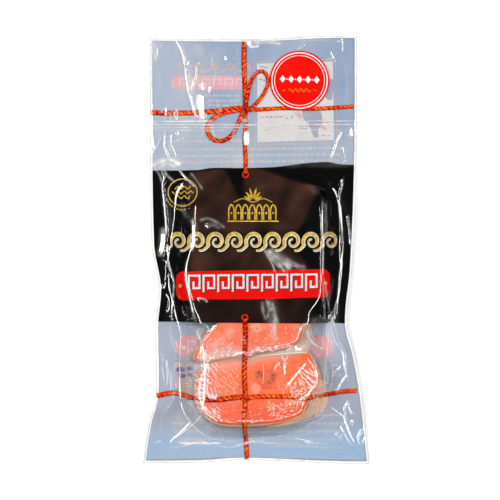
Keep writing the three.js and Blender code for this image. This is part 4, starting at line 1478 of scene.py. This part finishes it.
def build_back_print():
    """The back film's print, pale from inside and in full colour outside."""
    layers = {name: Print(level=row[0]) for name, row in BACK_LAYERS.items()}
    draw_header_panel(layers)
    draw_window_print(layers)
    draw_small_print(layers["text"])
    build_outside_table()
    full_bar = Print().patch(rounded(176.2, 336, 332, 357, 9.5), 2.0)
    full_bar.turned_down(0.09).build("outside_full_bar", RED)
    inks = {name: ink("back_" + name, *row[2:5]) for name, row in BACK_LAYERS.items()}
    for name, row in BACK_LAYERS.items():
        layers[name].turned_down(row[1]).build("outside_" + name, row[5] or inks[name])
    for name, layer in layers.items():
        layer.build("back_" + name, inks[name])


# ---------------------------------------------------------------- the slices


def steak(name, outline, centre, flare, paint):
    """A cut slice: upper face, skin round the side and lower face.

    flare is (mm, direction in degrees, narrowness) of the skin that stands out past the cut face.
    """
    line = smooth_line(outline, closed=True, spacing=0.9)[:-1]
    c = at(centre)[0]
    n = len(line)
    spokes = line - c
    ring_share = np.concatenate([np.linspace(0.012, 0.86, 52), np.linspace(0.86, 1, 18)[1:]])
    rings = c + spokes * ring_share[:, None, None]
    x, y = rings[..., 0], rings[..., 1]
    distance = to_line(x, y, closed_up(line))[0]
    z = slice_top(np.maximum(distance, 0.02)) + sample(flesh_relief, x, y)
    z = np.minimum(z, sample(film, x, y) - 0.75)
    following = np.roll(spokes, -1, axis=0)
    clockwise = (spokes[:, 0] * following[:, 1] - spokes[:, 1] * following[:, 0]).sum() < 0
    tangent = following - np.roll(spokes, 1, axis=0)
    outward = unit(np.column_stack([tangent[:, 1], -tangent[:, 0]])) * (-1 if clockwise else 1)
    reach, direction, narrowness = flare
    facing = np.cos(np.arctan2(spokes[:, 1], spokes[:, 0]) - math.radians(direction))
    out = reach * np.maximum(0, facing) ** narrowness
    sides = []
    for share in np.linspace(0.06, 1, 14):
        bulge = (0.5 * math.sin(math.pi * min(1, share * 1.1))
                 + out * math.sin(math.pi / 2 * min(1, share * 1.6)))
        xy = line + outward * bulge[:, None]
        level = np.minimum(z[-1] * (1 - share) + 0.4 * share, on(film, xy) - FISH_CLEARANCE)
        sides.append(np.column_stack([xy, level]))
    foot = sides[-1][:, :2]
    low = [np.column_stack([c + (foot - c) * share, np.full(n, 0.35)]) for share in (0.9, 0.5, 0.02)]
    points = np.vstack([rows_of(x, y, z), *sides, *low])
    rows = len(points) // n
    quads = grid_faces(rows, n, closed=True)
    first, last = np.arange(n), np.arange(n) + (rows - 1) * n
    faces = [*quads, first[::-1], last] if clockwise else [*quads[:, ::-1], first, last[::-1]]
    depth = np.concatenate([distance.ravel(), np.full(len(points) - distance.size, -1.0)])
    colour, block, meat = paint(points, depth)
    return make(name, points, faces, FLESH, colours={"paint": colour, "block": block, "meat": meat})


def spot(points, place, radii, angle=0.0, edge=None, power=2.0):
    """A soft mask round a photograph place, or an even one with an edge of a given softness."""
    offset = points[:, :2] - at(place)
    a = math.radians(angle)
    u = offset[:, 0] * math.cos(a) + offset[:, 1] * math.sin(a)
    v = offset[:, 1] * math.cos(a) - offset[:, 0] * math.sin(a)
    r = np.hypot(u / radii[0], v / radii[1])
    return 1 - smoothstep(r, 1 - edge, 1 + edge) if edge else np.exp(-(r**power))


def along(points, line, width):
    """A soft mask along a line of photograph places."""
    distance = to_line(points[:, 0], points[:, 1], smooth_line(at(line), spacing=1.5))[0]
    return np.exp(-((distance / width) ** 2))


def muscle(points, spine, spread):
    """Nested arcs of the four muscle quarters round the spine: one more at each block."""
    u, v = (np.abs(points[:, :2] - at(spine)) / spread - (0.52, 0.50)).T
    return np.hypot(u, v) * 5.2


class Paint:
    """The colours of a slice's points, laid over a ground one mark after another."""

    def __init__(self, points, depth, ground):
        self.points = points
        self.depth = depth
        self.colour = np.tile(pigment(*ground), (len(points), 1))

    def lay(self, mask, colour):
        self.colour += (pigment(*colour) - self.colour) * np.clip(mask, 0, 1)[:, None]

    def rim(self, low, high):
        return 1 - smoothstep(self.depth, low, high)

    def spots(self, *marks):
        """Marks as (strength, colour, place, radii and spot's other values)."""
        for strength, colour, *where in marks:
            self.lay(strength * spot(self.points, *where), colour)

    def line(self, strength, colour, points, width):
        self.lay(strength * along(self.points, points, width), colour)

    def skin(self, light, dark):
        """The side and the lower face: light high up, and dark below as painted shade."""
        high = self.points[:, 2] > 11
        self.colour[(self.depth < 0) & high] = pigment(*light)
        self.colour[(self.depth < 0) & ~high] = pigment(*dark)


BONE = (255.6, 387.2)


def paint_lower(points, depth):
    paint = Paint(points, depth, (268, 124, 72))
    right, down = points[:, 0], -points[:, 1]
    paint.lay(0.95 * smoothstep(down, 110, 124), (270, 74, 14))
    paint.spots((0.5, (268, 124, 78), (285, 365), (22, 9)), (0.55, (268, 94, 44), (300, 360), (9, 7)),
                (0.6, (268, 142, 106), (225, 368), (18, 8)))
    paint.lay(0.85 * paint.rim(1.5, 6.5) * smoothstep(down, 110, 128), (266, 60, 12))
    paint.lay(0.5 * paint.rim(1.5, 6.5) * smoothstep(right, 34, 44), (268, 82, 32))
    paint.lay(0.45 * paint.rim(1.5, 7) * smoothstep(-right, 38, 44), (268, 92, 50))
    # a dark red line just inside the lower edge: painted shade
    paint.line(0.8, (150, 26, 4), [(212, 419), (228, 423), (246, 423.4), (262, 421)], 1.0)
    # Brown and grey membrane along the upper edge, the marrow and the bone
    paint.spots((0.8, (214, 150, 118), (252, 358.6), (5.4, 3.4)),
                (0.7, (150, 128, 116), (238, 357.6), (6.0, 2.2)),
                (0.5, (222, 112, 84), (265.5, 376.6), (6.4, 4.8), 0, None, 4),
                (0.85, (262, 180, 146), BONE, (3.7, 3.8), 0, 0.2),
                (0.5, (262, 154, 120), BONE, (1.7, 1.7), 0, 0.3))
    # Blood marks round them, and along the septum
    for place, radii, strength in (((258.4, 371.4), (2.28, 1.68), 1.02), ((261.2, 374.2), (1.68, 1.2), 0.78),
                                   ((257.2, 375.6), (1.32, 0.84), 0.66), ((270.4, 370.8), (1.32, 0.72), 0.6),
                                   ((273.2, 374.2), (2.04, 1.32), 0.9), ((272.6, 378.2), (1.32, 1.8), 0.9),
                                   ((269.0, 381.2), (1.68, 1.08), 0.84), ((265.2, 382.4), (1.08, 0.72), 0.6),
                                   ((275.8, 372.4), (0.84, 0.6), 0.54), ((253.6, 378.8), (0.84, 0.6), 0.66)):
        paint.spots((strength, (88, 62, 62), place, radii, 20 * math.sin(place[0]), None, 2.4))
    paint.line(0.4, (176, 84, 62), [(262, 369.4), (268, 369.2), (274.4, 372), (275, 378), (270, 383.4),
                                    (263, 384), (257.6, 380.6), (256, 374.6)], 0.8)
    for start, stop, strength in ((239.6, 242.6, 0.6), (262.8, 266.4, 0.85), (268.4, 270.6, 0.6),
                                  (273.6, 275.4, 0.5), (277.2, 278.6, 0.5)):
        paint.line(strength, (120, 70, 60), [(start, 386.6), (stop, 386.2)], 0.8)
    # Fat, a notch with membrane, and the fat blocks near the belly
    paint.spots((0.9, (250, 152, 92), (271.6, 404.6), (5.0, 2.6), -6, 0.3),
                (0.8, (250, 158, 100), (270.8, 407.6), (2.2, 2.2), 0, 0.4),
                (0.75, (202, 110, 76), (258.4, 417.6), (4.4, 3.2), 35))
    for k in range(5):
        paint.spots((0.8, (252, 208, 170), (286 + 3.7 * k, 400.8 - 0.3 * k), (1.15, 3.0), -8, 0.35))
    # Cream line of fat under the skin, wider below, a dark red band inside it as painted shade, and the skin
    below = smoothstep(down, 114, 122)
    paint.lay(0.45 * below * smoothstep(depth, 1.8, 2.6) * paint.rim(2.8, 3.8), (170, 36, 8))
    paint.lay(0.9 * paint.rim(lerp(0.5, 1.2, below), lerp(1.5, 2.4, below)), (258, 206, 150))
    paint.lay(0.4 * paint.rim(0.1, 0.6), (206, 152, 110))
    # the side and lower face, dark low down: painted shade
    paint.skin((226, 160, 126), (158, 134, 122))
    marked = np.maximum(spot(points, (266, 377), (9, 7), power=4), spot(points, BONE, (5, 5), power=4))
    meat = smoothstep(depth, 1.0, 3.0) * (1 - 0.75 * marked)
    return paint.colour, muscle(points, BONE, (48, 27)), meat


def paint_upper(points, depth):
    paint = Paint(points, depth, (264, 132, 102))
    paint.spots((0.5, (252, 152, 136), (222, 345), (14, 9)), (0.5, (252, 122, 88), (290, 330), (12, 10)),
                (0.6, (255, 196, 184), (226, 352), (14, 3.6)))
    paint.line(0.75, (272, 232, 222), [(207, 357.6), (225, 354.6), (243, 351)], 1.7)
    paint.line(0.4, (272, 216, 200), [(210, 346), (220, 340), (232, 330)], 2.6)
    paint.spots((0.35, (270, 206, 190), (272, 330), (3.4, 6)),
                (0.8, (246, 196, 160), (257.5, 327), (6.2, 3.2), 0, 0.25),
                (0.8, (222, 60, 36), (256.8, 327.8), (0.9, 0.8)))
    for start, stop in ((247.4, 249), (250.2, 251.8)):
        paint.line(0.7, (120, 62, 56), [(start, 328.6), (stop, 328.6)], 0.7)
    paint.spots((0.4, (214, 128, 98), (262, 346), (4.4, 2.4)))
    for column, row, r in ((196.6, 353.0, 1.5), (200.4, 352.2, 1.4), (204.0, 350.0, 1.2),
                           (197.4, 356.8, 1.1)):
        paint.spots((0.8, (186, 30, 22), (column, row), (r, r)))
    paint.lay(0.6 * paint.rim(1.0, 3.4) * smoothstep(-points[:, 0], 36, 42), (250, 120, 72))
    paint.lay(0.9 * paint.rim(0.5, 1.6), (244, 198, 160))
    paint.lay(0.7 * paint.rim(0.1, 0.7), (196, 148, 108))
    # the side and lower face, dark low down: painted shade
    paint.skin((200, 158, 128), (150, 132, 122))
    return paint.colour, muscle(points, (250, 326), (44, 26)), smoothstep(depth, 1.0, 3.0)


def build_slices():
    steak("steak_lower", LOWER, (257.5, 389), (1.2, -32, 4), paint_lower)
    steak("steak_upper", UPPER, (252, 328), (1.2, 5, 3), paint_upper)


def build_skins():
    """Loose skin beside the slices and the membrane between them, tinted layers under the film."""
    for name, gap, step, veiled, outline in (
            ("skin_lower", 1.0, 1.2, ((304, 204, 162), 0.9, 120, 0.6),
             [(311, 393), (317, 384), (321, 379), (326, 387), (328, 397), (325, 406), (317, 413),
              (306, 418.6), (293, 423), (278, 425.4), (266, 425.6), (282, 422.2), (294, 418), (304, 412),
              (309, 403)]),
            ("skin_upper", 1.0, 1.2, ((232, 184, 150), 0.78, 160, 0.5),
             [(302, 323), (309.4, 322), (311, 335), (309.6, 346), (306, 351.4), (296, 352.6), (286, 352.6),
              (288, 347.6), (296, 343.6), (301.6, 335)]),
            ("gap_membrane", 1.1, 1.0, ((238, 178, 134), 0.7, 200),
             [(212, 361.6), (226, 358.4), (245, 355), (262, 352.6), (278, 350.6), (292, 348.6), (304, 349),
              (309, 352), (300, 352.8), (284, 352.4), (262, 353.6), (246, 356), (226, 359.6)])):
        Print(gap).patch(shape(outline), step).build(name, veil(name, *veiled))


# ---------------------------------------------------------------- round label


def build_label():
    """The round label on the header: a disc with a softened rim."""
    share = np.concatenate([np.linspace(0.02, 0.97, 22), [0.985, 0.995, 1.0]])[:, None]
    n = 160
    angle = np.linspace(0, 2 * math.pi, n, endpoint=False)
    x = LABEL_CENTRE[0] + LABEL_RADIUS * share * np.cos(angle)
    y = LABEL_CENTRE[1] + LABEL_RADIUS * share * np.sin(angle)
    under = sample(film, x, y)
    upper = rows_of(x, y, under + LABEL_TOP - 0.12 * smoothstep(share, 0.97, 1.0))
    lower = rows_of(x[::-1], y[::-1], under[::-1] + LABEL_UNDERSIDE)
    rows = 2 * len(share)
    faces = [*grid_faces(rows, n, closed=True)[:, ::-1], np.arange(n), (rows - 1) * n + np.arange(n)[::-1]]
    red = ink("label_red", (240, 6, 2), (246, 20, 6), 40, rough=0.4, specular=0.03, amount=0.6)
    label = make("label", np.vstack([upper, lower]), faces, red)
    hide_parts("round_label")


def build_label_print():
    """Rings, a row of diamonds and a wavy line."""
    rings, wave = Print(-LABEL_TOP - 0.03), Print(-LABEL_TOP - 0.03)
    rings.ring(LABEL_CENTRE, 21.3, 0.9, count=140)
    rings.ring(LABEL_CENTRE, 19.2, 0.5, count=140)
    for k in range(5):
        c = at((282.6 + 8.5 * k, 79.0 + 0.25 * k))
        rings.patch(c + np.array([(0, 2.9), (2.2, 0), (0, -2.9), (-2.2, 0)]), 1.2)
        if k < 4:
            rings.disc(c + (3.3, -0.1), 0.55)
    t = np.linspace(-1, 1, 50)
    middle = at((299.5, 90.4))
    wave.ribbon(middle + np.column_stack([t * 8.4, 1.15 * np.sin(t * 4 * math.pi)]), 0.8)
    for side in (-1, 1):
        wave.ribbon(middle + np.array([(side * 10.6, 0.0), (side * 13.4, 0.0)]), 0.6)
    white = ink("label_white", (244, 244, 242), (228, 230, 232), 300, rough=0.4, specular=0.03)
    gold = ink("label_gold", (226, 122, 30), (206, 100, 20), 300, rough=0.4, specular=0.03)
    for item, name, material in ((rings, "label_rings", white), (wave, "label_wave", gold)):
        item.build(name, material)


build_front_film()
build_band()
build_band_print()
build_twine()
build_back_film()
build_back_colour()
build_margin()
build_back_print()
build_slices()
build_skins()
build_label()
build_label_print()

# ---------------------------------------------------------------- floor, light and camera

FLOOR_HALF = 4.0  # metres, as everything from here on
FLOOR_LEVEL = -0.0004
corners = [(x * FLOOR_HALF, y * FLOOR_HALF, FLOOR_LEVEL) for x, y in ((-1, -1), (1, -1), (1, 1), (-1, 1))]
floor_mesh = bpy.data.meshes.new("floor")
floor_mesh.from_pydata(corners, [], [(0, 1, 2, 3)])
n = Nodes("floor")
shade = n.mix(n.levels(n.noise(3, 2), 0.3, 0.7), (0.9, 0.9, 0.9), (0.88, 0.88, 0.88))
floor_mesh.materials.append(n.lit(shade, 0.7, 0.1))
floor = link("floor", floor_mesh)
floor.visible_glossy = False  # steep film mirrors the dim room, not the bright floor


def softbox(name, place, size, radiance, strip=False):
    """An area light of a given radiance, width and height. A strip shows only as a reflection.

    The others aren't mirrored: they only light what is matt.
    """
    light = bpy.data.lights.new(name, "AREA")
    light.shape = "RECTANGLE"
    light.size, light.size_y = size
    light.energy = radiance * math.pi * size[0] * size[1]
    made = link(name, light)
    made.location = place
    made.rotation_euler = (Vector((0, 0, 0.01)) - Vector(place)).to_track_quat("-Z", "Y").to_euler()
    made.visible_glossy = strip
    made.visible_diffuse = not strip


# Broad light for the print and the fish, and long narrow lights that draw the folds in the film
softbox("soft_left", (-1.0, 0.3, 1.2), (1.0, 0.9), 9.0)
softbox("soft_right", (1.0, 0.2, 1.2), (1.0, 0.8), 7.5)
softbox("soft_top", (0, 0, 2.6), (3, 3), 1.42)
softbox("strip_left", (-0.95, 0.05, 1.13), (2.0, 0.34), 14.0, strip=True)
softbox("strip_right", (0.98, 0.0, 1.17), (2.0, 0.32), 13.0, strip=True)
softbox("strip_front", (0.0, -1.0, 1.25), (2.0, 0.26), 6.0, strip=True)
world = bpy.data.worlds.new("world")
world.use_nodes = True
background = world.node_tree.nodes["Background"]
background.inputs["Color"].default_value = (0.9, 0.93, 1.0, 1)
background.inputs["Strength"].default_value = 0.05
scene.world = world

DISTANCE = 2.2
SENSOR = 36
PHOTO_SIDE = 500
camera = link("camera", bpy.data.cameras.new("camera"))
camera.location = (*at((PHOTO_SIDE / 2, PHOTO_SIDE / 2))[0] * MM, DISTANCE)
camera.data.sensor_width = SENSOR
camera.data.lens = SENSOR * DISTANCE / (PHOTO_SIDE * PIXEL * MM)
camera.data.clip_end = 50
scene.camera = camera
scene.view_settings.view_transform = "Standard"
